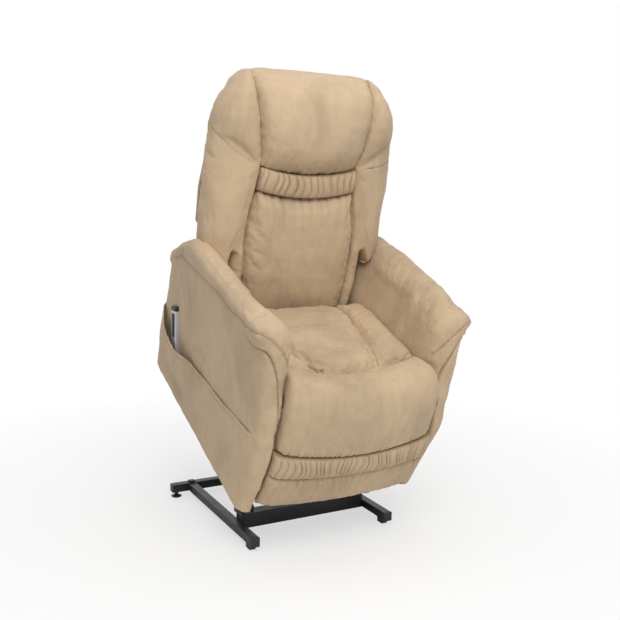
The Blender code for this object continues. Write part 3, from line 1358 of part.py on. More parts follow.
def make_handset(axis):
    """The hand control: shell, cap and keys, upright along the slide axis."""
    width, depth = HANDSET_WIDTH, HANDSET_DEPTH
    shell_length = HANDSET_LENGTH - HANDSET_CAP - GAP
    shell = box_part("handset_shell", (depth, width, shell_length),
                     (0, 0, shell_length / 2), SILVER_PLASTIC, axis)
    pad_depth = 0.0024
    pad_size = (pad_depth, width * 0.46, shell_length * 0.44)
    pad_z = shell_length - pad_size[2] / 2 - 0.010
    pad_x = -depth / 2 - GAP - pad_depth / 2
    bevelled(shell, 0.0045, 3)
    pad = box_part("handset_key_panel", pad_size, (pad_x, -width * 0.10, pad_z),
                   BLACK_PLASTIC, axis)
    holes = bmesh.new()
    key_pitch = pad_size[2] / KEY_COUNT
    key_size = (0.0026, pad_size[1] * 0.62, key_pitch * 0.62)
    for index in range(KEY_COUNT):
        z = pad_z + (index - (KEY_COUNT - 1) / 2) * key_pitch
        add_box(holes, (0.01, key_size[1] + 2 * GAP, key_size[2] + 2 * GAP),
                (pad_x, -width * 0.10, z))
        key = box_part(f"handset_key_{index + 1}", key_size, (0, 0, 0),
                       GREY_PLASTIC, axis)
        key.location = (-depth / 2 - GAP - KEY_TRAVEL - key_size[0] / 2,
                        -width * 0.10, z)
    boolean(pad, cutter("key openings", mesh_from(holes, "key openings"), axis),
            "DIFFERENCE")
    cap = box_part("handset_cap", (depth - 0.001, width - 0.002, HANDSET_CAP),
                   (0, 0, HANDSET_LENGTH - HANDSET_CAP / 2), BLACK_PLASTIC, axis)
    bevelled(cap, 0.005, 3)


def make_body_glides(body):
    """Small round glides under the front corners of the side panels."""
    for side, word in SIDES:
        top = side_bottom(GLIDE_U + GLIDE_RADIUS) - GAP
        bm = bmesh.new()
        add_rod(bm, at(side * 0.310, GLIDE_U, top - GLIDE_HEIGHT),
                at(side * 0.310, GLIDE_U, top), GLIDE_RADIUS * 0.8, 14, GLIDE_RADIUS)
        name = f"{word}_body_glide"
        finish_object(name, mesh_from(bm, name), BLACK_PLASTIC, body)


def make_control_box(body):
    """The drives' control box, hung under the rear seat rail."""
    box_part("control_box", (0.110, 0.070, 0.045),
             at(-0.005, REAR_RAIL_U - SEAT_RAIL_DEPTH / 2 + 0.020,
                SEAT_RAIL_V - GAP - 0.0225), GREY_PLASTIC, body, 0.004)


# ================================================================== the chair
def build():
    """Lay out every piece of the raised chair."""
    root = axis_empty("chair root", None, (0.0, DEPTH_CENTRE, 0.0))
    make_base(root)
    rear_axis = axis_empty("rear arm axis", root, (0, *REAR_ARM_PIVOT))
    front_axis = axis_empty("front arm axis", root, (0, *FRONT_ARM_PIVOT))
    make_arms(rear_axis, front_axis)
    crank = (REAR_ARM_PIVOT[0] + CRANK_LENGTH * math.cos(CRANK_ANGLE),
             REAR_ARM_PIVOT[1] + CRANK_LENGTH * math.sin(CRANK_ANGLE))
    make_drive("lift", root, LIFT_TAIL, crank, 0.0, LIFT_STROKE, -1)

    body = axis_empty("chair body", root, (0, BODY_Y, BODY_Z), TILT)
    make_seat_frame(body)
    make_seat(body)
    make_side(-1, "right", body)
    make_side(1, "left", body)
    make_rear_panel(body)
    make_body_glides(body)
    make_control_box(body)
    make_pocket(body)

    legrest = axis_empty("legrest axis", body, at(0, *LEGREST_PIVOT))
    make_legrest(legrest)
    tip = (-(LEGREST_PIVOT[0] + LEGREST_LEVER * math.cos(LEGREST_LEVER_ANGLE)),
           LEGREST_PIVOT[1] + LEGREST_LEVER * math.sin(LEGREST_LEVER_ANGLE))
    make_drive("legrest", body, (-LEGREST_TAIL[0], LEGREST_TAIL[1]), tip,
               SIDE_DRIVE_X, LEGREST_STROKE, 1)

    back = axis_empty("recline axis", body, at(0, *BACK_PIVOT), -BACK_LEAN)
    make_back_frame(back)
    make_back_cover(back)
    make_back_cushions(back)
    tip = (-(BACK_PIVOT[0] + BACK_LEVER * math.cos(BACK_LEVER_ANGLE)),
           BACK_PIVOT[1] + BACK_LEVER * math.sin(BACK_LEVER_ANGLE))
    make_drive("back", body, (-BACK_TAIL[0], BACK_TAIL[1]), tip, -SIDE_DRIVE_X,
               BACK_STROKE, -1)

    stand_off = side_outer_x(0.30) + 0.0046 + HANDSET_DEPTH / 2
    handset = axis_empty("handset axis", body,
                         at(-stand_off, HANDSET_U, HANDSET_BASE_V), -TILT)
    make_handset(handset)


for old in list(bpy.data.objects):
    bpy.data.objects.remove(old)
PARTS = new_collection("lift recliner chair")
CUTTERS = new_collection("cutters")
build()
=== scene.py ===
# %% [markdown]
# # A lift recliner in brushed suede
# This lesson dresses the plain solids of a lift recliner: soft cushions, gathered bands,
# a pocket with its handset, and a steel lift base.  The chair is shown raised and tipped
# forward.  The first cell loads the solids as a fixed frame, in metres, with +Z up.

# %% Load the frame
import json
import math

import bmesh
import bpy
import numpy as np
from mathutils import Matrix, Vector, noise
from mathutils.bvhtree import BVHTree
from mathutils.kdtree import KDTree


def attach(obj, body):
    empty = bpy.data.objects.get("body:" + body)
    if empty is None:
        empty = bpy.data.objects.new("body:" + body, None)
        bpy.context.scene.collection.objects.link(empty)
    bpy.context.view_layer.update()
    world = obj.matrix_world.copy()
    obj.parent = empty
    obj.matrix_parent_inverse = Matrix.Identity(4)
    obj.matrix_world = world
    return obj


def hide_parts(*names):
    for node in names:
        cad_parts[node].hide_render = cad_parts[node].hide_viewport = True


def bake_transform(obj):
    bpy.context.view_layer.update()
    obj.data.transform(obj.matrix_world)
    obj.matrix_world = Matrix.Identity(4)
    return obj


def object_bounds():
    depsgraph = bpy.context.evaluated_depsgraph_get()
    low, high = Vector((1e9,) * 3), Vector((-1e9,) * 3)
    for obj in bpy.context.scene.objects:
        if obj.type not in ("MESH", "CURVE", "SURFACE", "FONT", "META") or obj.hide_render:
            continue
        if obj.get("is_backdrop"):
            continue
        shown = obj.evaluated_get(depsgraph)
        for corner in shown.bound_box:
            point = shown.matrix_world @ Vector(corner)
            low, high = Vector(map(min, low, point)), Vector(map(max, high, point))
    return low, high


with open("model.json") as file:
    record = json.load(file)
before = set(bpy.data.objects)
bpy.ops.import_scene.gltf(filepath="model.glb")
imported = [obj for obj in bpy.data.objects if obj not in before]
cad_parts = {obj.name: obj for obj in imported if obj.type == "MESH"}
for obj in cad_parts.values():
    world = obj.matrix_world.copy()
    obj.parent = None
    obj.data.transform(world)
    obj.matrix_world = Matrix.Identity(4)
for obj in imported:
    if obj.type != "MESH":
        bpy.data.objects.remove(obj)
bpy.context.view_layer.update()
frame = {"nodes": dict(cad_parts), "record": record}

nodes = frame["nodes"]

# %% [markdown]
# The chair body was drawn level and then tipped, so its own axes make shapes easier to
# write down: u runs forward, v up, x to the sitter's left.  The backrest has axes of its
# own, f forward and h up from the recline pivot.  These helpers go from one to the other.

# %% Axes of the body and of the backrest
TILT = math.radians(21.52)
CORNER_Y, CORNER_Z = -0.2069 - 0.0537, 0.1578
LEAN = math.radians(15.5)
BACK_U, BACK_V = -0.560, 0.300


def body(x, u, v):
    """A point of the tipped chair body in the frame's axes."""
    return Vector((x, CORNER_Y - u * math.cos(TILT) - v * math.sin(TILT),
                   CORNER_Z - u * math.sin(TILT) + v * math.cos(TILT)))


def body_axes(points):
    """Columns x, u and v of many points."""
    dy, dz = points[:, 1] - CORNER_Y, points[:, 2] - CORNER_Z
    return (points[:, 0], -(dy * math.cos(TILT) + dz * math.sin(TILT)),
            -dy * math.sin(TILT) + dz * math.cos(TILT))


def back_axes(points):
    """Columns x, f and h of many points."""
    x, u, v = body_axes(points)
    du, dv = u - BACK_U, v - BACK_V
    return (x, du * math.cos(LEAN) + dv * math.sin(LEAN),
            -du * math.sin(LEAN) + dv * math.cos(LEAN))


def on_back(x, f, h):
    """A point of the backrest in the frame's axes."""
    return body(x, BACK_U + f * math.cos(LEAN) - h * math.sin(LEAN),
                BACK_V + f * math.sin(LEAN) + h * math.cos(LEAN))


print("recline pivot at", [round(c, 3) for c in on_back(0, 0, 0)])

# %% [markdown]
# The camera stands where the photographer stood: a little to the sitter's right and low.
# A camera looks along its own -Z, so its matrix is made of a right, an up and a backward
# direction.  A small roll and shift put the picture's edges where they were.

# %% Camera
EYE = Vector((-1.350, -2.5657, 1.158))
TARGET = Vector((0.0, -0.0537, 0.766))
ROLL = math.radians(1.15)
forward = (TARGET - EYE).normalized()
level = forward.cross(Vector((0, 0, 1))).normalized()
upright = level.cross(forward)
right = level * math.cos(ROLL) + upright * math.sin(ROLL)
upward = upright * math.cos(ROLL) - level * math.sin(ROLL)
camera_data = bpy.data.cameras.new("camera")
camera_data.lens = 48.87
camera_data.sensor_width = 36.0
camera_data.shift_x = 0.01097
camera_data.shift_y = -0.00821
camera = bpy.data.objects.new("camera", camera_data)
turn = Matrix((right, upward, -forward)).transposed().to_4x4()
camera.matrix_world = Matrix.Translation(EYE) @ turn
bpy.context.scene.collection.objects.link(camera)
bpy.context.scene.camera = camera
print("camera", round((TARGET - EYE).length, 3), "m from the chair")

# %% [markdown]
# Studio light for furniture is large and soft.  One wide lamp above and in front, a
# weaker one straight above and an even white world give gentle shading.  The
# background is white only for the camera, so it does not flood the chair with light.

# %% Light, world and floor
scene = bpy.context.scene
scene.view_settings.view_transform = "Standard"


def dial(made, **inputs):
    """Set some inputs of a node by name, with _ for a space."""
    for name, value in inputs.items():
        made.inputs[name.replace("_", " ")].default_value = value
    return made


def node(tree, kind, **inputs):
    """A new node with some of its inputs set."""
    return dial(tree.nodes.new(kind), **inputs)


def join(tree, *pairs):
    """Link outputs to inputs."""
    for out, into in pairs:
        tree.links.new(out, into)


def lamp(name, place, size, power):
    """A square area lamp aimed at the chair."""
    data = bpy.data.lights.new(name, "AREA")
    data.size = size
    data.energy = power
    made = bpy.data.objects.new(name, data)
    made.location = place
    made.rotation_euler = (Vector((0, 0, 0.7)) - Vector(place)).to_track_quat(
        "-Z", "Y").to_euler()
    scene.collection.objects.link(made)
    return made


KEY_POWER, TOP_POWER, WORLD_LIGHT = 76.0, 24.0, 0.46
lamp("key lamp", (-0.80, -2.6, 3.1), 2.0, KEY_POWER)
lamp("top lamp", (0, -0.3, 3.9), 2.2, TOP_POWER)

world = bpy.data.worlds.new("studio")
scene.world = world
world.use_nodes = True
sky = world.node_tree
sky.nodes.clear()
soft = node(sky, "ShaderNodeBackground", Color=(1.0, 0.985, 0.96, 1.0), Strength=WORLD_LIGHT)
white = node(sky, "ShaderNodeBackground", Color=(1.0, 1.0, 1.0, 1.0), Strength=1.0)
path, blend = node(sky, "ShaderNodeLightPath"), node(sky, "ShaderNodeMixShader")
seen = node(sky, "ShaderNodeMath")
seen.operation = "MAXIMUM"
output = node(sky, "ShaderNodeOutputWorld")
join(sky, (path.outputs["Is Camera Ray"], seen.inputs[0]),
     (path.outputs["Is Glossy Ray"], seen.inputs[1]), (seen.outputs[0], blend.inputs["Fac"]),
     (soft.outputs[0], blend.inputs[1]), (white.outputs[0], blend.inputs[2]),
     (blend.outputs[0], output.inputs["Surface"]))
print("lamps and world in place")

# %% [markdown]
# The floor takes the chair's shadow near its middle.  Further out it glows white for the
# camera alone, so that it fades into the background without an edge.

# %% The floor
REACH, BELOW_FEET = 9.0, 0.0006
floor_mesh = bpy.data.meshes.new("studio_floor")
floor_mesh.from_pydata([(-REACH, -REACH, 0), (REACH, -REACH, 0), (REACH, REACH, 0),
                        (-REACH, REACH, 0)], [], [(0, 1, 2, 3)])
floor = bpy.data.objects.new("studio_floor", floor_mesh)
scene.collection.objects.link(floor)
floor.location.z = -BELOW_FEET
floor_paint = bpy.data.materials.new("studio floor")
floor_paint.use_nodes = True
tree = floor_paint.node_tree
matt = dial(tree.nodes["Principled BSDF"], Base_Color=(0.92, 0.92, 0.92, 1.0),
            Roughness=0.9, Specular_IOR_Level=0.1)
glow = node(tree, "ShaderNodeEmission", Color=(1.0, 1.0, 1.0, 1.0), Strength=1.0)
place, rays = node(tree, "ShaderNodeTexCoord"), node(tree, "ShaderNodeLightPath")
distance = node(tree, "ShaderNodeVectorMath")
distance.operation = "LENGTH"
fade = node(tree, "ShaderNodeMapRange", From_Min=0.45, From_Max=1.9, To_Min=0.62, To_Max=1.0)
share = node(tree, "ShaderNodeMath")
share.operation = "MULTIPLY"
mixed = node(tree, "ShaderNodeMixShader")
join(tree, (place.outputs["Object"], distance.inputs[0]),
     (distance.outputs["Value"], fade.inputs["Value"]),
     (rays.outputs["Is Camera Ray"], share.inputs[0]), (fade.outputs[0], share.inputs[1]),
     (share.outputs[0], mixed.inputs["Fac"]), (matt.outputs[0], mixed.inputs[1]),
     (glow.outputs[0], mixed.inputs[2]),
     (mixed.outputs[0], tree.nodes["Material Output"].inputs["Surface"]))
floor_mesh.materials.append(floor_paint)
floor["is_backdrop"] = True
print("floor in place")

# %% [markdown]
# Microfibre suede is a short brushed pile.  It has almost no shine, a soft sheen at
# grazing angles, and cloudy light and dark patches where a hand has turned the pile.
# Noise at three sizes makes the clouds, the brush marks and the pile itself.  A
# per-point attribute on each piece paints shade into the seams, the pleat valleys and the
# hidden faces.

# %% Suede
def ramp(tree, source, stops):
    """A colour ramp over a socket; stops are (position, colour)."""
    made = tree.nodes.new("ShaderNodeValToRGB")
    elements = made.color_ramp.elements
    while len(elements) < len(stops):
        elements.new(0.5)
    for element, (position, colour) in zip(elements, stops):
        element.position = position
        element.color = (*colour, 1.0)
    tree.links.new(source, made.inputs["Fac"])
    return made.outputs["Color"]


def multiply(tree, first, second):
    """One colour multiplied by another."""
    made = tree.nodes.new("ShaderNodeMix")
    made.data_type = "RGBA"
    made.blend_type = "MULTIPLY"
    made.inputs["Factor"].default_value = 1.0
    join(tree, (first, made.inputs["A"]), (second, made.inputs["B"]))
    return made.outputs["Result"]


def grey(value):
    """A neutral colour."""
    return (value, value, value)


def suede(name, tint, cloud=1.0):
    """Brushed microfibre in one tint."""
    made = bpy.data.materials.new(name)
    made.use_nodes = True
    tree = made.node_tree
    shader = dial(tree.nodes["Principled BSDF"], Roughness=0.92, Specular_IOR_Level=0.18,
                  Sheen_Weight=0.22, Sheen_Roughness=0.45,
                  Sheen_Tint=(1.0, 0.93, 0.82, 1.0))
    place = tree.nodes.new("ShaderNodeTexCoord").outputs["Object"]

    def pattern(scale, detail, stretch=(1, 1, 1), distortion=0.0):
        mapping = node(tree, "ShaderNodeMapping", Scale=stretch)
        made = node(tree, "ShaderNodeTexNoise", Scale=scale, Detail=detail,
                    Distortion=distortion)
        join(tree, (place, mapping.inputs["Vector"]),
             (mapping.outputs[0], made.inputs["Vector"]))
        return made.outputs["Fac"]

    dark = tuple(c * (1 - 0.17 * cloud) for c in tint)
    pale = tuple(min(c * (1 + 0.10 * cloud), 1.0) for c in tint)
    colour = ramp(tree, pattern(5.0, 4.0, (1, 1, 0.7), 0.9),
                  [(0.30, dark), (0.52, tint), (0.74, pale)])
    strokes = ramp(tree, pattern(20.0, 3.0, (1.0, 1.0, 0.35), 1.8),
                   [(0.35, grey(0.92)), (0.65, grey(1.0))])
    colour = multiply(tree, colour, strokes)
    pile = ramp(tree, pattern(520.0, 2.0), [(0.30, grey(0.88)), (0.70, grey(1.0))])
    colour = multiply(tree, colour, pile)
    # Painted shade: this attribute darkens the colour in seams, pleat valleys and hidden
    # faces.
    painted_shade = tree.nodes.new("ShaderNodeAttribute")
    painted_shade.attribute_name = "painted_shade"
    shade = ramp(tree, painted_shade.outputs["Fac"],
                 [(0.0, (1, 1, 1)), (0.5, (0.80, 0.75, 0.69)), (1.0, (0.50, 0.43, 0.36))])
    coarse = node(tree, "ShaderNodeBump", Strength=0.35, Distance=0.004)
    nap = node(tree, "ShaderNodeBump", Strength=0.35, Distance=0.0006)
    join(tree, (multiply(tree, colour, shade), shader.inputs["Base Color"]),
         (pattern(16.0, 3.0, (1, 1, 1), 0.6), coarse.inputs["Height"]),
         (pattern(420.0, 3.0), nap.inputs["Height"]),
         (coarse.outputs[0], nap.inputs["Normal"]), (nap.outputs[0], shader.inputs["Normal"]))
    return made


SAND = (0.575, 0.432, 0.286)
suede_main = suede("sand suede", SAND)
suede_band = suede("sand suede gathered", tuple(c * 0.97 for c in SAND), 0.7)
suede_inside = suede("foam cover cloth", tuple(c * 0.8 for c in SAND), 0.4)
print("suede made")

# %% [markdown]
# Hard finishes: satin powder coat with a faint orange-peel skin, bright zinc plate with a
# hazy crystal pattern, and moulded plastics with a fine spark-eroded grain.

# %% Hard finishes
def hard(name, colour, rough, metal=0.0, grain=300.0, depth=0.0002, spread=0.10,
         mottle=0.06, coat=0.0):
    """Paint, plate or plastic with uneven colour, uneven shine and a skin."""
    made = bpy.data.materials.new(name)
    made.use_nodes = True
    tree = made.node_tree
    shader = dial(tree.nodes["Principled BSDF"], Metallic=metal, Coat_Weight=coat)
    place = tree.nodes.new("ShaderNodeTexCoord").outputs["Object"]
    cloud = node(tree, "ShaderNodeTexNoise", Scale=28.0, Detail=4.0)
    dark = tuple(c * (1 - mottle) for c in colour)
    pale = tuple(min(c * (1 + mottle), 1.0) for c in colour)
    mottled = ramp(tree, cloud.outputs["Fac"], [(0.3, dark), (0.7, pale)])
    shine = node(tree, "ShaderNodeMapRange", To_Min=max(rough - spread, 0.05),
                 To_Max=min(rough + spread, 1.0))
    peel = node(tree, "ShaderNodeTexNoise", Scale=grain, Detail=2.0)
    bump = node(tree, "ShaderNodeBump", Strength=0.5, Distance=depth)
    join(tree, (place, cloud.inputs["Vector"]), (place, peel.inputs["Vector"]),
         (mottled, shader.inputs["Base Color"]), (cloud.outputs["Fac"], shine.inputs["Value"]),
         (shine.outputs[0], shader.inputs["Roughness"]),
         (peel.outputs["Fac"], bump.inputs["Height"]),
         (bump.outputs[0], shader.inputs["Normal"]))
    return made


def plywood(name):
    """Birch ply: long pale grain with darker streaks."""
    made = hard(name, (0.42, 0.285, 0.15), 0.7, grain=160.0)
    tree = made.node_tree
    shader = tree.nodes["Principled BSDF"]
    place = tree.nodes.new("ShaderNodeTexCoord").outputs["Object"]
    mapping = node(tree, "ShaderNodeMapping", Scale=(3.0, 60.0, 60.0))
    grain = node(tree, "ShaderNodeTexNoise", Scale=1.0, Detail=5.0, Distortion=0.4)
    streaks = ramp(tree, grain.outputs["Fac"],
                   [(0.3, (0.30, 0.19, 0.09)), (0.6, (0.46, 0.32, 0.18))])
    join(tree, (place, mapping.inputs["Vector"]), (mapping.outputs[0], grain.inputs["Vector"]),
         (streaks, shader.inputs["Base Color"]))
    return made


finishes = {
    "black_steel": hard("satin black powder coat", (0.016, 0.016, 0.018), 0.40,
                        grain=420.0, depth=0.00015),
    "zinc": hard("zinc plate", (0.50, 0.50, 0.52), 0.36, metal=1.0, grain=90.0),
    "black_plastic": hard("black moulded plastic", (0.018, 0.018, 0.020), 0.48,
                          grain=700.0),
    "grey_plastic": hard("dark grey housing plastic", (0.050, 0.051, 0.056), 0.55,
                         grain=600.0),
    "silver_plastic": hard("silver handset shell", (0.52, 0.52, 0.55), 0.30, metal=0.35,
                           grain=800.0, coat=0.3),
    "plywood": plywood("birch plywood"),
}
for part in frame["record"]["subparts"]:
    paint = finishes.get(part["material_slot"])
    if paint is None:
        paint = suede_inside if part["material_slot"] == "suede_inner" else suede_main
    item = nodes[part["node"]]
    item.data.materials.clear()
    item.data.materials.append(paint)
print("finishes", sorted(finishes))

# %% [markdown]
# Upholstery starts from the plain solid of each cushion.  A voxel remesh turns it into an
# even skin of small squares, which a cloth simulation can blow up from inside like
# stuffing.  Cloth that is cut slightly too big puckers as it fills, just as a sewn
# cover does.  Points on a seam are held still, so the cushion swells between them.


def new_object(name, mesh, paint):
    """A scene object with a material."""
    made = bpy.data.objects.new(name, mesh)
    mesh.materials.clear()
    mesh.materials.append(paint)
    scene.collection.objects.link(made)
    return made


def plain_copy(names, extra=()):
    """The named solids and any extra meshes as one merged bmesh."""
    bm = bmesh.new()
    for mesh in [nodes[name].data for name in names] + list(extra):
        bm.from_mesh(mesh)
    bmesh.ops.remove_doubles(bm, verts=bm.verts, dist=1e-5)
    return bm


def evaluated_mesh(made):
    """The object's mesh with its modifiers applied, which are then removed."""
    graph = bpy.context.evaluated_depsgraph_get()
    mesh = bpy.data.meshes.new_from_object(made.evaluated_get(graph))
    made.modifiers.clear()
    old = made.data
    made.data = mesh
    bpy.data.meshes.remove(old)
    return mesh


def positions(mesh):
    """All the points of a mesh as rows."""
    flat = np.empty(len(mesh.vertices) * 3)
    mesh.vertices.foreach_get("co", flat)
    return flat.reshape(-1, 3)


def move_to(mesh, points):
    """Write all the points of a mesh."""
    mesh.vertices.foreach_set("co", points.ravel())
    mesh.update()


def normals(mesh):
    """The outward direction at every point."""
    flat = np.empty(len(mesh.vertices) * 3)
    mesh.vertex_normals.foreach_get("vector", flat)
    return flat.reshape(-1, 3)


def relax(mesh, rounds, share=0.5):
    """Smooth a skin by moving each point towards the middle of its neighbours."""
    share = np.broadcast_to(np.asarray(share, dtype=float), len(mesh.vertices))[:, None]
    edges = np.empty(len(mesh.edges) * 2, dtype=np.int64)
    mesh.edges.foreach_get("vertices", edges)
    edges = edges.reshape(-1, 2)
    points = positions(mesh)
    count = np.bincount(edges.ravel(), minlength=len(points))[:, None]
    for _ in range(rounds):
        total = np.zeros_like(points)
        np.add.at(total, edges[:, 0], points[edges[:, 1]])
        np.add.at(total, edges[:, 1], points[edges[:, 0]])
        points = points + (total / np.maximum(count, 1) - points) * share
    move_to(mesh, points)


def skin(name, names, voxel, paint, rounds=4, shrink=0.0, extra=()):
    """An even skin over some solids, slightly smoothed, drawn in by shrink."""
    mesh = bpy.data.meshes.new(name)
    bm = plain_copy(names, extra)
    bm.to_mesh(mesh)
    bm.free()
    made = new_object(name, mesh, paint)
    remesh = made.modifiers.new("even skin", "REMESH")
    remesh.mode = "VOXEL"
    remesh.voxel_size = voxel
    evaluated_mesh(made)
    relax(made.data, rounds)
    if shrink:
        move_to(made.data, positions(made.data) - normals(made.data) * shrink)
    return made


def distance_to(points, path):
    """How far every point is from a path of 3-D points."""
    best = np.full(len(points), 1e9)
    for start, end in zip(path, path[1:]):
        a, b = np.array(start), np.array(end)
        run = b - a
        share = np.clip((points - a) @ run / max(run @ run, 1e-12), 0, 1)
        gap = np.linalg.norm(points - (a + share[:, None] * run), axis=1)
        best = np.minimum(best, gap)
    return best


def stuff(made, pressure, cap, slack, held, frames=20):
    """Blow a skin up like a sewn cover, holding the points where held is high."""
    before = positions(made.data).copy()
    group = made.vertex_groups.new(name="sewn")
    for index in np.nonzero(held > 0.02)[0]:
        group.add([int(index)], float(min(held[index], 1.0)), "REPLACE")
    cloth = made.modifiers.new("cover", "CLOTH")
    settings = cloth.settings
    settings.use_pressure = True
    settings.uniform_pressure_force = pressure
    settings.effector_weights.gravity = 0.0
    settings.quality = 4
    settings.mass = 0.3
    settings.tension_stiffness = settings.compression_stiffness = 12
    settings.shear_stiffness = 6
    settings.bending_stiffness = 0.35
    settings.air_damping = 3.0
    settings.vertex_group_mass = "sewn"
    settings.pin_stiffness = 1.0
    settings.shrink_min = -slack
    cloth.collision_settings.use_collision = False
    cloth.collision_settings.use_self_collision = False
    for step in range(1, frames + 1):
        scene.frame_set(step)
    evaluated_mesh(made)
    made.vertex_groups.clear()
    moved = positions(made.data) - before
    length = np.linalg.norm(moved, axis=1)
    keep = np.where(length > cap, cap / np.maximum(length, 1e-9), 1.0)
    move_to(made.data, before + moved * keep[:, None])
    scene.frame_set(1)
    return made


def store_painted_shade(mesh, values):
    """Store how much painted shade every point gets, in seams and pleat valleys, for the
    material.
    """
    attribute = mesh.attributes.get("painted_shade") or mesh.attributes.new(
        "painted_shade", "FLOAT", "POINT")
    attribute.data.foreach_set("value", np.clip(values, 0, 1).astype(np.float32))


def wrinkles(points, size, seed, stretch=(1, 1, 1), octaves=3):
    """Soft noise between about -1 and 1 at every point."""
    made = np.empty(len(points))
    for row, point in enumerate(points):
        spot = Vector((point[0] * stretch[0], point[1] * stretch[1],
                       point[2] * stretch[2])) / size + Vector((seed, seed * 1.7, 0))
        made[row] = noise.fractal(spot, 1.0, 2.0, octaves)
    return made


def fine(made, levels=1):
    """Smooth subdivision of a finished skin."""
    modifier = made.modifiers.new("fine skin", "SUBSURF")
    modifier.levels = modifier.render_levels = levels
    evaluated_mesh(made)
    made.data.shade_smooth()
    return made


def finish(made, body_name, names):
    """Finish a cushion: shade it smooth, attach it to what it rides on and hide the solids it
    replaces.
    """
    made.data.shade_smooth()
    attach(made, body_name)
    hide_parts(*names)
    print(made.name, len(made.data.vertices), "points")
    return made


def bell(distance, width):
    """1 on a line, falling away to the sides."""
    return np.exp(-(distance / width) ** 2)


print("cushion tools ready")

# %% [markdown]
# A sewn seam is a narrow valley with the cloth swelling a little on both sides.  Its line
# is written as a few points and laid on the nearest surface.  A skin's points close to the
# line are moved onto it, which keeps the valley crisp however the squares lie.

# %% Tools for seams
def smooth_step(values, low, high):
    """0 below low, 1 above high and smooth between."""
    t = np.clip((values - low) / (high - low), 0, 1)
    return t * t * (3 - 2 * t)


def hull_mesh(points):
    """The convex hull of some points as a mesh."""
    bm = bmesh.new()
    for point in points:
        bm.verts.new(point)
    made = bmesh.ops.convex_hull(bm, input=list(bm.verts))
    loose = [item for item in made["geom_interior"] + made["geom_unused"]
             if isinstance(item, bmesh.types.BMVert)]
    bmesh.ops.delete(bm, geom=list(set(loose)), context="VERTS")
    mesh = bpy.data.meshes.new("hull")
    bm.to_mesh(mesh)
    bm.free()
    return mesh


def surface_of(made):
    """A search tree over an object's surface."""
    return BVHTree.FromPolygons([vert.co for vert in made.data.vertices],
                                [face.vertices for face in made.data.polygons])


def on_surface(made, stops, spacing=0.003):
    """A dense line on an object's surface that passes near some points."""
    stops = np.array([tuple(stop) for stop in stops])
    along = np.concatenate([[0], np.cumsum(np.linalg.norm(np.diff(stops, axis=0), axis=1))])
    even = np.linspace(0, along[-1], int(along[-1] / spacing) + 2)
    line = np.stack([np.interp(even, along, stops[:, k]) for k in range(3)], axis=1)
    for _ in range(6):
        line[1:-1] += (line[:-2] + line[2:] - 2 * line[1:-1]) * 0.3
    tree = surface_of(made)
    return np.array([tuple(tree.find_nearest(Vector(point))[0]) for point in line])


def sew(made, line, depth=0.004, width=0.005, puff=0.0012, shade=0.8, reach=0.0022):
    """Press a seam into a skin along a line, and paint shade into its valley."""
    points = positions(made.data)
    out = normals(made.data)
    low, high = line.min(axis=0) - 0.05, line.max(axis=0) + 0.05
    near = np.nonzero(((points > low) & (points < high)).all(axis=1))[0]
    tree = KDTree(len(line))
    for row, point in enumerate(line):
        tree.insert(point, row)
    tree.balance()
    gap, start = np.empty(len(near)), np.empty(len(near))
    for row, index in enumerate(near):
        spot, start[row], gap[row] = tree.find(points[index])
        if gap[row] < reach:
            points[index] = spot
            gap[row] = 0.0
    grow = np.clip(start / 14, 0.1, 1)
    points[near] += out[near] * (grow * (puff * bell(gap, 4 * width)
                                         - (depth + puff) * bell(gap, width)))[:, None]
    move_to(made.data, points)
    # Painted shade along the seam's valley, stored for the material.
    values = np.zeros(len(points), dtype=np.float32)
    made.data.attributes["painted_shade"].data.foreach_get("value", values)
    values[near] = np.maximum(values[near], grow * shade * bell(gap, width * 0.55))
    store_painted_shade(made.data, values)


print("seam tools ready")

# %% [markdown]
# The seat is one cushion with two long sewn seams that close in towards the front.  Its
# sides tuck under the arm pads.  The seams are drawn on the surface as paths; the cloth
# is held along them, and afterwards each is pressed in as a narrow valley.

# %% Seat cushion
SEAT_BASE = 0.400
SEAT_SEAM = {1: [(0.150, -0.46), (0.141, -0.33), (0.136, -0.27), (0.127, -0.185),
                 (0.118, -0.112), (0.108, -0.056)],
             -1: [(-0.198, -0.46), (-0.192, -0.28), (-0.167, -0.16), (-0.149, -0.115),
                  (-0.130, -0.080), (-0.112, -0.052)]}


def solid_top(u):
    """The top of the plain seat solid."""
    return np.interp(u, [-0.47, -0.36, -0.24, -0.13, -0.067],
                     [0.445, 0.476, 0.492, 0.508, 0.512])


def seat_top(x, u):
    """The dished top of the dressed seat: low in the middle, rising to the arms."""
    level = np.interp(u, [-0.47, -0.36, -0.24, -0.13, -0.045],
                      [0.447, 0.471, 0.475, 0.471, 0.464])
    return level + 0.022 * (np.minimum(np.abs(x), 0.25) / 0.25) ** 3


seat = skin("seat_cushion_cover", ["seat_cushion"], 0.006, suede_main, 6, 0.002)
points = positions(seat.data)
x, u, v = body_axes(points)
reach = np.interp(np.abs(x), [0.0, 0.10, 0.135, 0.18, 0.25],
                  [0.040, 0.036, 0.022, 0.010, -0.006]) * smooth_step(u, -0.17, -0.07)
share = (seat_top(x, u) - SEAT_BASE) / (solid_top(u) - SEAT_BASE)
lowered = np.where(v > SEAT_BASE, SEAT_BASE + (v - SEAT_BASE) * share, v)
points += np.outer(reach, body(0, 1, 0) - body(0, 0, 0))
points += np.outer(lowered - v, body(0, 0, 1) - body(0, 0, 0))
move_to(seat.data, points)


def seam_gap(points):
    """How far every point of the seat's top is from its two seams, seen from above."""
    x, u, v = body_axes(points)
    plan = np.stack([x, u, np.where(v > 0.42, 0.0, 1.0)], axis=1)
    return np.minimum(*(distance_to(plan, [(px, pu, 0.0) for px, pu in seam])
                        for seam in SEAT_SEAM.values()))


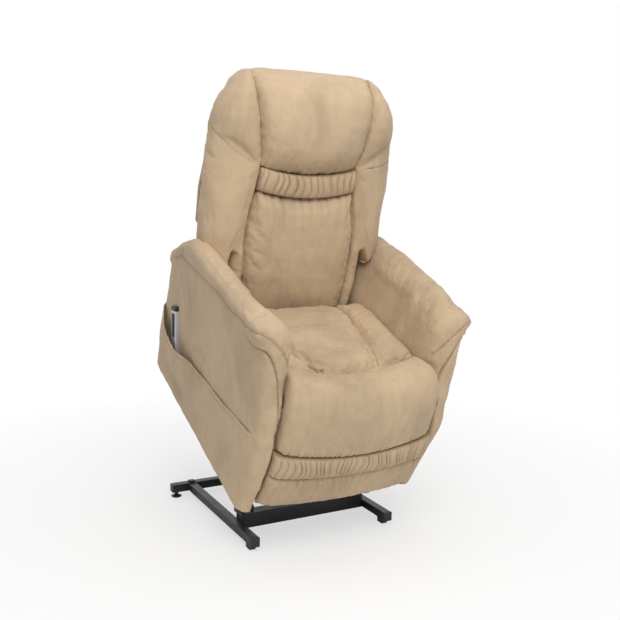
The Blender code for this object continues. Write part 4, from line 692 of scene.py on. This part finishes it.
x, u, v = body_axes(points)
held = np.maximum((seam_gap(points) < 0.008).astype(float), (v < 0.400).astype(float))
cross_seam = np.interp(np.abs(x), [0.1, 0.25], [-0.040, -0.085])
held = np.maximum(held, (u > cross_seam).astype(float))
stuff(seat, 4.0, 0.014, 0.06, held)
points = positions(seat.data)
near = seam_gap(points)
x, u, v = body_axes(points)
pull = 0.0022 * np.sin(x * 190 + 9 * u) * bell(near, 0.030)
points += normals(seat.data) * (pull - 0.006 * bell(near, 0.012))[:, None]
points += normals(seat.data) * (0.0028 * wrinkles(points, 0.08, 3.0)
                                + 0.0008 * wrinkles(points, 0.025, 4.0))[:, None]
move_to(seat.data, points)
fine(seat)
store_painted_shade(seat.data, np.zeros(len(seat.data.vertices)))
for seam in SEAT_SEAM.values():
    stops = [body(px, pu, seat_top(px, pu)) for px, pu in seam]
    sew(seat, on_surface(seat, stops), 0.0060, 0.0048, 0.0015, 1.0)
finish(seat, "chair_body", ["seat_cushion"])

# %% [markdown]
# The front roll and the legrest's upper pad are one sewn cover on the real chair.  It
# starts at the cross seam of the seat, rolls over the front edge and hangs down to the
# gathered band, and it bends where the legrest hinges.  One cover has one section, so
# it is lofted: the section is written once as a path of (u, v) points, and every column
# across the chair repeats it, a little narrower at the ends where the cloth turns in.

# %% Reading tables and making a loft
def table(t, stops):
    """Reading of (position, value) stops."""
    xs, ys = zip(*stops)
    return float(np.interp(t, xs, ys))


def rounded(stops, count):
    """A smooth row of points through some stops, evenly spread."""
    stops = np.array(stops, dtype=float)
    ends = np.vstack([2 * stops[0] - stops[1], stops, 2 * stops[-1] - stops[-2]])
    row = []
    for a, b, c, d in zip(ends, ends[1:], ends[2:], ends[3:]):
        for t in np.linspace(0, 1, 16, endpoint=False):
            row.append(0.5 * (2 * b + (c - a) * t + (2 * a - 5 * b + 4 * c - d) * t ** 2
                              + (3 * b - a - 3 * c + d) * t ** 3))
    row = np.array(row + [stops[-1]])
    along = np.concatenate([[0], np.cumsum(np.linalg.norm(np.diff(row, axis=0), axis=1))])
    even = np.linspace(0, along[-1], count)
    return np.stack([np.interp(even, along, row[:, k]) for k in range(2)], axis=1)


def loft(name, rings, paint):
    """A closed skin through rings of points that all have the same number of points."""
    bm = bmesh.new()
    made = [[bm.verts.new(point) for point in ring] for ring in rings]
    size = len(made[0])
    for one, two in zip(made, made[1:]):
        for k in range(size):
            bm.faces.new((one[k], one[(k + 1) % size], two[(k + 1) % size], two[k]))
    for ring in (made[0], made[-1]):
        middle = bm.verts.new(sum((vert.co for vert in ring), Vector()) / size)
        for k in range(size):
            bm.faces.new((ring[k], ring[(k + 1) % size], middle))
    bmesh.ops.recalc_face_normals(bm, faces=bm.faces)
    mesh = bpy.data.meshes.new(name)
    bm.to_mesh(mesh)
    bm.free()
    return new_object(name, mesh, paint)


def pleats(count, seed):
    """Irregular pleats along s from 0 to 1: 1 on a fold, about -1 in a valley."""
    rng = np.random.default_rng(seed)
    stops = np.linspace(0, 1, count + 1)
    shift = rng.uniform(-0.36, 0.36, count + 1)
    height = rng.uniform(0.40, 1.0, count + 1)

    def wave(s):
        phase = np.pi * (s * count + np.interp(s, stops, shift))
        return (2 * np.abs(np.sin(phase)) ** 0.62 - 1.25) * np.interp(s, stops, height)

    return wave


print("loft and pleats ready")

# %% Front cover
def band_sag(x, depth):
    """How far a seam across the legrest hangs below its ends."""
    return depth * (1 - np.minimum(np.abs(x) / 0.285, 1) ** 2)


COVER_MIDDLE = [(-0.034, 0.450), (-0.028, 0.462), (-0.010, 0.474), (0.020, 0.482),
                (0.055, 0.479), (0.087, 0.459), (0.108, 0.420), (0.118, 0.378),
                (0.121, 0.345), (0.117, 0.308), (0.110, 0.276), (0.098, 0.265)]
COVER_END = [(-0.082, 0.466), (-0.075, 0.480), (-0.052, 0.495), (0.000, 0.504),
             (0.030, 0.499), (0.057, 0.478), (0.077, 0.446), (0.079, 0.400),
             (0.079, 0.355), (0.078, 0.308), (0.074, 0.276), (0.064, 0.265)]
COVER_BACK = [(0.0255, 0.262), (0.0255, 0.305), (0.026, 0.355), (0.030, 0.400),
              (0.034, 0.420), (0.022, 0.432), (0.0, 0.436), (-0.030, 0.437),
              (-0.042, 0.442)]
COVER_HALF = [(0.0, 0.2485), (0.21, 0.2490), (0.30, 0.2560), (0.40, 0.2620),
              (0.49, 0.2660), (0.61, 0.2700), (0.73, 0.2735), (1.0, 0.2745)]
BACK_HALF = [(0.255, 0.2815), (0.33, 0.2810), (0.40, 0.2720), (0.43, 0.2570),
             (0.45, 0.2450)]
OUTER_ROWS, BACK_ROWS, COVER_COLUMNS = 84, 26, 190
hem_pleats, seam_pleats = pleats(36, 15), pleats(17, 16)
middle_path = rounded(COVER_MIDDLE, OUTER_ROWS)
end_path = rounded(COVER_END, OUTER_ROWS)
back_path = rounded(COVER_BACK, BACK_ROWS)
path_share = np.linspace(0, 1, OUTER_ROWS)
rings, shades = [], []
for column in range(COVER_COLUMNS + 1):
    s = column / COVER_COLUMNS
    side = 2 * s - 1
    end = 1 - abs(side) ** 26
    edge = 1 - math.sqrt(max(end, 0.0))
    outer_path = middle_path + (end_path - middle_path) * abs(side) ** 1.9
    outer_out = np.gradient(outer_path, axis=0)
    outer_out = np.stack([-outer_out[:, 1], outer_out[:, 0]], axis=1)
    outer_out /= np.linalg.norm(outer_out, axis=1)[:, None]
    ring, shade = [], []
    for (u, v), (nu, nv), t in zip(outer_path, outer_out, path_share):
        x = side * table(t, COVER_HALF)
        if u < -0.02:
            nu, nv = 0.0, 1.0
        hem = min(max((t - 0.74) / 0.24, 0.0), 1.0) ** 1.4
        seam = math.exp(-(t / 0.055) ** 2) * 0.6 + max(1 - t / 0.30, 0.0) ** 2
        pleat = hem_pleats(s + 0.004 * math.sin(9 * t + 5 * s))
        pull = seam_pleats(s + 0.05 * (t - 0.1))
        lift = 0.0036 * pleat * hem + 0.0024 * pull * seam
        lift -= 0.030 * edge * min(t / 0.12 + 0.25, 1.0)
        low = band_sag(x, 0.018) * min(max((t - 0.62) / 0.38, 0.0), 1.0) ** 1.6
        ring.append(body(x, u + nu * lift, v + nv * lift - low))
        # Painted shade: darker in the pleat valleys, at the cross seam, at the hem.
        shade.append(max(-pleat, 0.0) * hem * 0.55 + max(-pull, 0.0) * seam * 0.30
                     + 1.0 * math.exp(-(t / 0.042) ** 2)
                     + 0.9 * math.exp(-((1 - t) / 0.020) ** 2))
    for u, v in back_path:
        x = side * table(v, BACK_HALF)
        low = band_sag(x, 0.018) * min(max((0.33 - v) / 0.07, 0.0), 1.0)
        ring.append(body(x, u + 0.010 * edge * (1 if v < 0.43 else 0), v - low))
        # Painted shade on the hidden back of the cover.
        shade.append(0.3)
    rings.append(ring)
    shades.extend(shade)
front = loft("front_cover", rings, suede_main)
store_painted_shade(front.data, np.array(shades + [0.3, 0.3]))
points = positions(front.data)
x, u, v = body_axes(points)
drape = (0.0034 * wrinkles(points, 0.10, 8.0, (1.0, 1.0, 0.5))
         + 0.0011 * wrinkles(points, 0.030, 9.0, (1.0, 1.0, 0.6)))
dents = [([(-0.098, -0.040), (-0.070, 0.010), (-0.052, 0.060), (-0.050, 0.108)], 0.0055),
         ([(0.020, -0.040), (0.014, 0.040)], 0.0034),
         ([(0.055, -0.040), (0.052, 0.045)], 0.0030),
         ([(-0.030, -0.040), (-0.030, 0.030)], 0.0026)]
fold = np.zeros(len(points))
for pairs, depth in dents:
    heights = [table(place_u, [(-0.042, 0.460), (0.0, 0.480), (0.04, 0.482),
                               (0.073, 0.470), (0.098, 0.440), (0.112, 0.405)])
               for _, place_u in pairs]
    line = [body(place_x, place_u, height)
            for (place_x, place_u), height in zip(pairs, heights)]
    fold += depth * bell(distance_to(points, line), 0.0085)
out = normals(front.data)
move_to(front.data, points + out * (drape * (u > -0.062) * (v > 0.27) - fold)[:, None])
fine(front)
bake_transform(front)
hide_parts("seat_front_roll", "legrest_upper_pad")
print("front cover", len(front.data.vertices), "points")

# %% [markdown]
# A gathered band is a long strip of cloth pushed onto short elastic, so it stands up in
# irregular folds.  The folds are written as a wave across the strip whose spacing and
# height wander, strongest in the middle of the strip and dying out at its two seams.
# The valleys, the edges at the two seams and the hidden back are given painted shade, which
# the material turns into darker colour.

# %% Gathered bands
def gathered(name, columns, rows, place, paint):
    """A closed strip: place(s, t, side) gives a point and how much painted shade it gets."""
    rings, shades = [], []
    for i in range(columns + 1):
        front_row = [place(i / columns, j / rows, 1) for j in range(rows + 1)]
        back_row = [place(i / columns, j / rows, 0) for j in range(rows, -1, -1)]
        rings.append([point for point, _ in front_row + back_row])
        shades.extend(shade for _, shade in front_row + back_row)
    made = loft(name, rings, paint)
    store_painted_shade(made.data, np.array(shades + [0.5, 0.5]))
    return made


def legrest_front(v):
    """How far forward the legrest's lower covers stand at height v."""
    return table(v, [(0.0, 0.050), (0.05, 0.064), (0.10, 0.074), (0.15, 0.084),
                     (0.20, 0.092), (0.27, 0.094)])


BAND_LOW, BAND_HIGH = 0.180, 0.264
LEGREST_HALF = 0.2800
band_pleats, lower_pleats = pleats(31, 5), pleats(23, 11)


def legrest_band_place(s, t, side):
    """The ruched band across the legrest."""
    flat = BAND_LOW + (BAND_HIGH - BAND_LOW) * t
    x = (2 * s - 1) * LEGREST_HALF
    v = flat - float(band_sag(x, 0.010 + 0.008 * t))
    if side == 0:
        return body(x * 0.985, 0.0246, v), 0.3
    bulge = math.sqrt(max(1 - (2 * t - 1) ** 2, 0.0))
    bend = s + 0.007 * math.sin(6 * t + 13 * s) + 0.004 * math.sin(31 * s)
    wave = band_pleats(bend)
    end = math.sqrt(max(1 - abs(2 * s - 1) ** 30, 0.0))
    u = legrest_front(v) - 0.022 + (0.016 + 0.0068 * wave) * bulge ** 0.7
    u += 0.026 * (1 - abs(2 * s - 1) ** 2.2) - 0.024 * (1 - end)
    # Painted shade in the pleat valleys and along the two seams; the hidden back gets a flat
    # painted shade.
    rim = max(1 - bulge / 0.45, 0.0)
    return body(x, u, v), 0.62 * max(-wave, 0.0) * bulge ** 0.5 + 0.8 * rim


legrest_band = gathered("legrest_gathered_band", 420, 22, legrest_band_place, suede_band)
finish(legrest_band, "legrest", ["legrest_band"])

# %% Legrest lower pad
def legrest_lower_place(s, t, side):
    """The pad below the band, with long soft pleats that start at the seam."""
    x = (2 * s - 1) * LEGREST_HALF
    top = BAND_LOW - float(band_sag(x, 0.010)) - 0.001
    bottom = 0.050 - float(band_sag(x, 0.003)) if side else 0.029
    v = bottom + (top - bottom) * t
    if side == 0:
        return body(x * 0.99, 0.0250 - 0.022 * abs(2 * s - 1) ** 10, v), 0.3
    hem = max(1 - (t / 0.10), 0.0) ** 2
    seam = max(1 - (1 - t) / 0.14, 0.0) ** 2
    wave = lower_pleats(s + 0.014 * math.sin(4 * t + 9 * s))
    end = math.sqrt(max(1 - abs(2 * s - 1) ** 30, 0.0))
    u = legrest_front(v) - 0.010 + 0.020 * (1 - abs(2 * s - 1) ** 2.2) - 0.024 * (1 - end)
    u -= 0.020 * hem + 0.010 * seam
    u += 0.0042 * wave * (0.25 + 0.75 * t ** 1.5) * (1 - hem)
    # Painted shade in the pleat valleys and at the top seam; the hidden back gets a flat
    # painted shade.
    return body(x, u, v), 0.42 * max(-wave, 0.0) * t ** 1.5 + 0.8 * max(1 - (1 - t) / 0.04, 0)


lower = gathered("legrest_lower_cover", 260, 40, legrest_lower_place, suede_main)
points = positions(lower.data)
rough = 0.0024 * wrinkles(points, 0.07, 21.0) + 0.0008 * wrinkles(points, 0.025, 22.0)
x, u, v = body_axes(points)
move_to(lower.data, points + normals(lower.data) * (rough * (u > 0.035))[:, None])
finish(lower, "legrest", ["legrest_lower_pad"])

# %% [markdown]
# Each side is one upholstered shape: a padded panel, and an arm pad that curls down over
# its front.  The notch under the pad's tip is filled with a convex hull before the
# remesh, and many rounds of smoothing there give the soft nose.  Seams come last, drawn
# as lines on the finished surface: the nearest points are moved onto the line, which
# keeps it crisp, and the skin beside it is pressed in and puffed up.

# %% Sides and arms
def side_front(v):
    """The front edge of a side panel along its inner face."""
    return table(v, [(0.0, 0.018), (0.16, 0.044), (0.263, 0.062), (0.394, 0.048),
                     (0.456, 0.007)])


PAD_SEAM = [(0.350, -0.760, 0.505), (0.3648, -0.6665, 0.5612), (0.3781, -0.5456, 0.5877),
            (0.3801, -0.4482, 0.6010), (0.3834, -0.2974, 0.6216), (0.3803, -0.1676, 0.6195),
            (0.3760, -0.0952, 0.6217), (0.3772, -0.0384, 0.6323), (0.3610, -0.0016, 0.6416),
            (0.3409, 0.0051, 0.6328), (0.3182, 0.0090, 0.6139), (0.2938, 0.0108, 0.5865),
            (0.2735, 0.0079, 0.5561), (0.2560, -0.0072, 0.5209)]
FRONT_SEAM = [(0.3658, -0.1127, 0.5800), (0.3616, -0.0470, 0.5850), (0.3590, -0.0100, 0.5940),
              (0.3476, 0.0039, 0.5902), (0.3332, 0.0130, 0.5747), (0.3190, 0.0196, 0.5510),
              (0.3044, 0.0225, 0.5177), (0.2898, 0.0203, 0.4735), (0.2830, 0.0260, 0.4346),
              (0.2820, 0.0397, 0.3982), (0.2845, 0.0500, 0.3600)]
arm_covers = {}
for side, word in ((-1, "right"), (1, "left")):
    pad_points = positions(nodes[f"{word}_arm_pad"].data)
    panel_points = positions(nodes[f"{word}_side_panel"].data)
    pad_x, pad_u, pad_v = body_axes(pad_points)
    panel_x, panel_u, panel_v = body_axes(panel_points)
    nose = np.vstack([pad_points[(pad_u > -0.11) & (pad_v > 0.43) & (np.abs(pad_x) < 0.345)],
                      panel_points[(panel_u > -0.13) & (panel_v > 0.38)]])
    brow = np.vstack([pad_points[(pad_u > -0.13) & (pad_v > 0.56) & (np.abs(pad_x) > 0.29)],
                      panel_points[(panel_u > -0.13) & (panel_v > 0.53)
                                   & (np.abs(panel_x) > 0.30)]])
    strip = [body(side * px, pu, pv) for pu in (-0.10, -0.02)
             for px, pv in ((0.2535, 0.470), (0.300, 0.470), (0.2640, 0.440), (0.300, 0.330),
                            (0.2780, 0.385), (0.2855, 0.330))]
    strip += [body(side * px, side_front(pv) + 0.003, pv)
              for px, pv in ((0.2640, 0.440), (0.2780, 0.385), (0.2855, 0.330), (0.31, 0.40),
                             (0.31, 0.330))]
    cover = skin(f"{word}_side_cover", [f"{word}_side_panel", f"{word}_arm_pad"], 0.0079,
                 suede_main, 4, 0.0, [hull_mesh(nose), hull_mesh(brow), hull_mesh(strip)])
    points = positions(cover.data)
    x, u, v = body_axes(points)
    tuck = np.clip((v - 0.560) / 0.070, 0, 1) ** 0.7
    wide = np.abs(x) - 0.352
    points[:, 0] -= side * np.where((wide > 0) & (v < 0.63), wide * (1 - tuck), 0.0)
    spread = smooth_step(v, 0.42, 0.60) * smooth_step(-u, 0.02, 0.22)
    spread *= 0.026 * (1 - 0.80 * smooth_step(-u, 0.50, 0.76))
    swell = 0.008 * (np.abs(x) > 0.31) * smooth_step(v, 0.02, 0.2) * smooth_step(-u, 0.0, 0.2)
    points[:, 0] += side * (spread + swell * (1 - smooth_step(v, 0.45, 0.60)))
    drop = 0.026 * smooth_step(-u, 0.58, 0.78) * smooth_step(v, 0.42, 0.58)
    drop -= (0.014 * smooth_step(np.abs(x), 0.29, 0.34) * smooth_step(v, 0.55, 0.62)
             * smooth_step(-u, 0.06, 0.20) * (1 - smooth_step(-u, 0.55, 0.72)))
    drop += 0.008 * (1 - smooth_step(v, 0.0, 0.12))
    points -= np.outer(drop, body(0, 0, 1) - body(0, 0, 0))
    push = (0.012 * smooth_step(u, -0.08, 0.0) * (1 - smooth_step(v, 0.26, 0.36))
            * smooth_step(v, 0.03, 0.12) - 0.008 * smooth_step(-u, 0.70, 0.80))
    points += np.outer(push, body(0, 1, 0) - body(0, 0, 0))
    move_to(cover.data, points)
    front_share = smooth_step(u, -0.11, -0.05) * smooth_step(v, 0.37, 0.45)
    relax(cover.data, 22, 0.06 + 0.44 * front_share)
    points = positions(cover.data)
    move_to(cover.data, points + normals(cover.data) * (0.0045 * front_share)[:, None])
    x, u, v = body_axes(positions(cover.data))
    held = 1 - smooth_step(v, 0.56, 0.60) * (np.abs(x) < 0.372)
    held = np.maximum(held, (np.abs(x) < 0.262) & (v < 0.55))
    stuff(cover, 2.2, 0.007, 0.04, held.astype(float), 16)
    points = positions(cover.data)
    x, u, v = body_axes(points)
    flat = (np.abs(x) > 0.30).astype(float)
    pulls = 0.0030 * wrinkles(points, 0.17, 31.0 + side) * flat
    pulls += 0.0016 * wrinkles(points, 0.06, 35.0 + side, (1, 0.7, 1.3))
    pulls += 0.0005 * wrinkles(points, 0.02, 37.0 + side)
    move_to(cover.data, points + normals(cover.data) * pulls[:, None])
    fine(cover)
    store_painted_shade(cover.data, np.zeros(len(cover.data.vertices)))
    arm_covers[side] = cover
    for stops, depth, shade in ((PAD_SEAM, 0.0016, 0.75), (FRONT_SEAM, 0.0062, 1.0)):
        line = on_surface(cover, [body(side * px, pu, pv) for px, pu, pv in stops])
        sew(cover, line, depth, 0.0046, 0.3 * depth - 0.0002, shade)
    finish(cover, "chair_body", [f"{word}_side_panel", f"{word}_arm_pad"])

# %% [markdown]
# The backrest: a lumbar cushion and a head cushion with a gathered band between them, and
# at each side a bolster below and a wing above that are one padded form with a shallow
# seam across it.  The bolsters spread over the arms and rest on them.

# %% Backrest
def back_piece(name, names, pressure, cap, slack, seed, mould=None, shape=None, line=None):
    """One cushion of the backrest; mould moves its skin before it is stuffed."""
    made = skin(name, names, 0.006, suede_main, 7, 0.001)
    points = positions(made.data)
    if mould is not None:
        points = points + mould(*back_axes(points))
        move_to(made.data, points)
    x, f, h = back_axes(points)
    stuff(made, pressure, cap, slack, (f < 0.032).astype(float))
    points = positions(made.data)
    x, f, h = back_axes(points)
    shift = (0.0020 * wrinkles(points, 0.085, seed)
             + 0.0007 * wrinkles(points, 0.026, seed + 7)) * (f > 0.05)
    shade = np.zeros(len(points))
    if shape is not None:
        fold, shade = shape(x, f, h)
        shift = shift + fold
    # Painted shade in the pleat valleys, stored for the material.
    store_painted_shade(made.data, shade)
    move_to(made.data, points + normals(made.data) * shift[:, None])
    fine(made)
    if line is not None:
        sew(made, on_surface(made, line), 0.0020, 0.0040, 0.0008, 0.40)
    return finish(made, "backrest", names)


def sag(x):
    """How far the gathered band hangs below its ends."""
    return 0.024 * (1 - np.minimum(np.abs(x) / 0.18, 1) ** 2)


lumbar_pleats, head_pleats, neck_pleats = pleats(11, 3), pleats(15, 4), pleats(14, 8)


def lumbar_gathers(x, f, h):
    """Pleats that run down from the band and up from the seat, and their shade."""
    above = np.clip(1 - (0.522 - sag(x) - h) / 0.15, 0, 1) ** 1.4
    below = 0.7 * np.clip(1 - (h - 0.10) / 0.09, 0, 1) ** 1.4
    wave = np.where(h > 0.3, lumbar_pleats((x + 0.19 + 0.16 * x * (0.5 - h)) / 0.38),
                    head_pleats((x + 0.2) / 0.4))
    reach = np.maximum(above, below) * (f > 0.08)
    return 0.0046 * wave * reach, 0.34 * np.maximum(-wave, 0) * reach


def head_gathers(x, f, h):
    """Short pleats that run up from the band, and their shade."""
    reach = np.clip(1 - (h - 0.606 + sag(x)) / 0.085, 0, 1) ** 1.4 * (f > 0.08)
    wave = head_pleats((x + 0.19 + 0.3 * x * (h - 0.6)) / 0.38)
    return 0.0036 * wave * reach, 0.34 * np.maximum(-wave, 0) * reach


BACK_OUT = np.array(on_back(1, 0, 0) - on_back(0, 0, 0))
BACK_UP = np.array(on_back(0, 0, 1) - on_back(0, 0, 0))


WING_SWELL, WAIST_SWELL, BOLSTER_DROP, CORNER_DROP = 0.013, 0.016, 0.066, 0.016


def side_mould(x, f, h):
    """Where the side forms of the back are fuller or rounder than their solids."""
    wide = smooth_step(np.abs(x), 0.26, 0.32)
    out = WING_SWELL * wide * smooth_step(f, 0.04, 0.10) * smooth_step(h, 0.46, 0.58)
    out *= 1 - smooth_step(h, 0.82, 0.88)
    out += (WAIST_SWELL * smooth_step(np.abs(x), 0.215, 0.24) * smooth_step(h, 0.10, 0.22)
            * (1 - smooth_step(h, 0.37, 0.42)) * (np.abs(x) < 0.262))
    down = (BOLSTER_DROP * smooth_step(np.abs(x), 0.235, 0.265)
            * (1 - smooth_step(h, 0.33, 0.60)))
    down += CORNER_DROP * smooth_step(np.abs(x), 0.23, 0.33) * smooth_step(h, 0.80, 0.89)
    return np.outer(np.sign(x) * out, BACK_OUT) - np.outer(down, BACK_UP)


WING_SEAM = {-1: [(0.186, 0.172, 0.605), (0.204, 0.176, 0.616), (0.234, 0.177, 0.632),
                  (0.260, 0.174, 0.647), (0.283, 0.167, 0.661), (0.310, 0.156, 0.685),
                  (0.331, 0.130, 0.712), (0.338, 0.100, 0.735)],
             1: [(0.184, 0.170, 0.599), (0.197, 0.173, 0.603), (0.215, 0.176, 0.609),
                 (0.235, 0.176, 0.613), (0.256, 0.175, 0.616), (0.288, 0.163, 0.622),
                 (0.312, 0.150, 0.634), (0.330, 0.120, 0.655)]}
back_piece("lumbar_cover", ["lumbar_cushion"], 1.6, 0.006, 0.015, 51.0, None, lumbar_gathers)
back_piece("head_cover", ["head_cushion"], 1.6, 0.007, 0.015, 52.0, None, head_gathers)
side_forms = {}
for side, word in ((-1, "right"), (1, "left")):
    seam = [on_back(side * px, pf, ph) for px, pf, ph in WING_SEAM[side]]
    side_forms[side] = back_piece(f"{word}_bolster_cover", [f"{word}_bolster", f"{word}_wing"],
                                  1.2, 0.004, 0.012, 53.0 + side, side_mould, line=seam)


def neck_band_place(s, t, side):
    """The ruched band under the head cushion."""
    low, high = 0.528, 0.606
    h0 = low + (high - low) * t
    half = table(h0, [(0.52, 0.182), (0.61, 0.177)]) - 0.001
    x = -half + 2 * half * s
    h = h0 - float(sag(np.array([x]))[0])
    if side == 0:
        return on_back(x * 0.93, 0.0166, h), 0.3
    bulge = math.sqrt(max(1 - (2 * t - 1) ** 2, 0.0))
    wave = neck_pleats(s + 0.012 * math.sin(5 * t + 6 * s) + 0.004 * math.sin(23 * s))
    end = math.sqrt(max(1 - abs(2 * s - 1) ** 16, 0.0))
    front = table(h, [(0.50, 0.166), (0.53, 0.170), (0.60, 0.182)])
    f = front - 0.012 + (0.021 + 0.0085 * wave) * bulge ** 0.7 - 0.012 * (1 - end)
    # Painted shade in the pleat valleys and along the two seams; the hidden back gets a flat
    # painted shade.
    rim = max(1 - bulge / 0.45, 0.0)
    return on_back(x, f, h), 0.70 * max(-wave, 0.0) * bulge ** 0.5 + 0.8 * rim


neck = gathered("neck_gathered_band", 300, 22, neck_band_place, suede_band)
finish(neck, "backrest", ["neck_band"])

# %% [markdown]
# The outer back, the lower rear panel and the foam edge under the seat are tight covers
# with no seams of their own.  A skin over each solid, slightly smoothed, is enough.

# %% Back cover, lower rear panel and foam edge
for name, solid, rides_on, voxel, rounds, paint, slot in (
        ("outer_back_cover", "back_cover", "backrest", 0.0045, 3, suede_main, "suede"),
        ("rear_panel_cover", "rear_lower_panel", "chair_body", 0.006, 4, suede_main, "suede"),
        ("seat_edge_cover", "seat_edge_foam", "chair_body", 0.006, 3, suede_inside,
         "suede_inner")):
    made = skin(name, [solid], voxel, paint, rounds)
    store_painted_shade(made.data, np.zeros(len(made.data.vertices)))
    finish(made, rides_on, [solid])

# %% [markdown]
# The side pocket is a second layer of suede sewn to the panel on three sides.  Its mouth
# gapes where the handset stands in it and lies flat towards the front.  It is measured
# off the finished panel: a ray from outside finds the panel at each place, and the cloth
# stands a little way off it, so the two never cross.  At its three sewn edges it sinks
# into the panel and can't be told from it.

# %% Side pocket
def pocket_mouth(u):
    """The pocket's upper edge."""
    return table(u, [(-0.812, 0.316), (-0.76, 0.300), (-0.70, 0.274), (-0.655, 0.257),
                     (-0.605, 0.252), (-0.551, 0.254), (-0.40, 0.268), (-0.22, 0.286),
                     (-0.12, 0.297), (-0.04, 0.306), (0.05, 0.314)])


def panel_edge(v, rear):
    """The rear or front edge of the side panel at height v."""
    if rear:
        return table(v, [(0.0, -0.853), (0.308, -0.808), (0.546, -0.785)])
    return table(v, [(0.0, -0.001), (0.105, 0.007), (0.20, 0.030), (0.28, 0.043),
                     (0.40, 0.041)])


OUTWARD = Vector((-1, 0, 0))
panel_tree = surface_of(arm_covers[-1])


def panel_face(u, v):
    """How far out the finished panel reaches at (u, v)."""
    hit = panel_tree.ray_cast(body(-0.5, u, v), -OUTWARD)[0]
    return -hit.x if hit else 0.330


def pocket_place(s, t, side):
    """The pocket's cloth, inner face at side 0 and outer face at side 1."""
    rough_u = -0.82 + 0.86 * s
    rough_v = 0.010 + (pocket_mouth(rough_u) - 0.010) * t
    rear, fore = panel_edge(rough_v, True) + 0.002, panel_edge(rough_v, False) - 0.009
    u = rear + (fore - rear) * s
    low = 0.016 * -u / 0.853 + 0.004
    v = low + (pocket_mouth(u) - low) * t
    along = 1.02 / (1 + ((u + 0.610) / 0.120) ** 4)
    rise = float(smooth_step(v, 0.08, 0.19))
    swell = 0.0285 * min(along, 1.0) * rise
    sewn = float(smooth_step(u - rear, 0.0, 0.030) * smooth_step(fore - u, 0.0, 0.045)
                 * smooth_step(v - low, 0.0, 0.025))
    slack = 0.0012 * (1 + math.sin(30 * s + 5 * t)) * rise * t
    lift = -0.0034 + 0.0042 * sewn + (swell + slack) * sewn + 0.0026 * side * sewn
    # Painted shade along the groove of the hem, below the pocket's mouth.
    hem = math.exp(-((pocket_mouth(u) - v - 0.016) / 0.0028) ** 2) * sewn
    lift -= 0.0008 * hem * side
    return body(-(panel_face(u, v) + lift), u, v), 0.30 * hem * side


pocket = gathered("side_pocket_cover", 250, 96, pocket_place, suede_main)
finish(pocket, "chair_body", ["side_pocket"])

# %% [markdown]
# Top stitching is one small stitch repeated.  A Geometry Nodes tree places it at even
# steps along lines that lie beside the seams, on the surface of the finished covers.

# %% Stitches
STITCH = {"Pitch": 0.0072, "Length": 0.0048, "Radius": 0.00065}


def stitch_tree():
    """Nodes that turn lines into rows of short threads, each a little different."""
    tree = bpy.data.node_groups.new("stitches", "GeometryNodeTree")
    sockets = tree.interface
    sockets.new_socket("Lines", in_out="INPUT", socket_type="NodeSocketGeometry")
    for name in STITCH:
        sockets.new_socket(name, in_out="INPUT", socket_type="NodeSocketFloat")
    sockets.new_socket("Seed", in_out="INPUT", socket_type="NodeSocketInt")
    sockets.new_socket("Thread", in_out="INPUT", socket_type="NodeSocketMaterial")
    sockets.new_socket("Stitches", in_out="OUTPUT", socket_type="NodeSocketGeometry")
    made = {name: tree.nodes.new(kind) for name, kind in (
        ("given", "NodeGroupInput"), ("curve", "GeometryNodeMeshToCurve"),
        ("even", "GeometryNodeResampleCurve"), ("stitch", "GeometryNodeMeshCylinder"),
        ("along", "GeometryNodeInputTangent"), ("turn", "FunctionNodeAlignRotationToVector"),
        ("vary", "FunctionNodeRandomValue"), ("place", "GeometryNodeInstanceOnPoints"),
        ("solid", "GeometryNodeRealizeInstances"), ("paint", "GeometryNodeSetMaterial"),
        ("result", "NodeGroupOutput"))}
    made["even"].mode = "LENGTH"
    made["turn"].axis = "Z"
    made["stitch"].inputs["Vertices"].default_value = 6
    made["vary"].inputs[2].default_value = 0.85
    made["vary"].inputs[3].default_value = 1.10
    for start, out, end, into in (
            ("given", "Lines", "curve", "Mesh"), ("curve", "Curve", "even", "Curve"),
            ("given", "Pitch", "even", "Length"), ("given", "Length", "stitch", "Depth"),
            ("given", "Radius", "stitch", "Radius"), ("even", "Curve", "place", "Points"),
            ("stitch", "Mesh", "place", "Instance"), ("along", "Tangent", "turn", "Vector"),
            ("turn", "Rotation", "place", "Rotation"), ("given", "Seed", "vary", "Seed"),
            ("vary", 1, "place", "Scale"), ("place", "Instances", "solid", "Geometry"),
            ("solid", "Geometry", "paint", "Geometry"),
            ("given", "Thread", "paint", "Material"),
            ("paint", "Geometry", "result", "Stitches")):
        tree.links.new(made[start].outputs[out], made[end].inputs[into])
    return tree


def stitches(name, body_name, lines, seed):
    """All the top stitching on one body, along (cover, stops) pairs."""
    points, edges = [], []
    for cover, stops in lines:
        tree = surface_of(cover)
        line = on_surface(cover, stops)[6:-6]
        edges += [(len(points) + k, len(points) + k + 1) for k in range(len(line) - 1)]
        for point in line:
            spot, out = tree.find_nearest(Vector(point))[:2]
            points.append(spot + out * 0.0002)
    mesh = bpy.data.meshes.new(name)
    mesh.from_pydata(points, edges, [])
    made = new_object(name, mesh, suede_main)
    modifier = made.modifiers.new("stitches", "NODES")
    modifier.node_group = stitch_nodes
    values = dict(STITCH, Seed=seed, Thread=suede_main)
    for item in stitch_nodes.interface.items_tree:
        if item.name in values:
            modifier[item.identifier] = values[item.name]
    evaluated_mesh(made)
    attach(made, body_name)
    print(name, len(made.data.polygons), "faces")


stitch_nodes = stitch_tree()
arm_rows, wing_rows = [], []
for side in (-1, 1):
    for gap in (-0.009, 0.009):
        arm_rows.append((arm_covers[side], [body(side * px, pu, pv + gap)
                                            for px, pu, pv in PAD_SEAM]))
    wing_rows.append((side_forms[side], [on_back(side * px, pf, ph - 0.008)
                                         for px, pf, ph in WING_SEAM[side]]))
stitches("arm_stitches", "chair_body", arm_rows, 21)
stitches("wing_stitches", "backrest", wing_rows, 22)

# %% Sizes and finish
low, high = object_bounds()
print("visual box", [round(c, 3) for c in (*low, *high)])
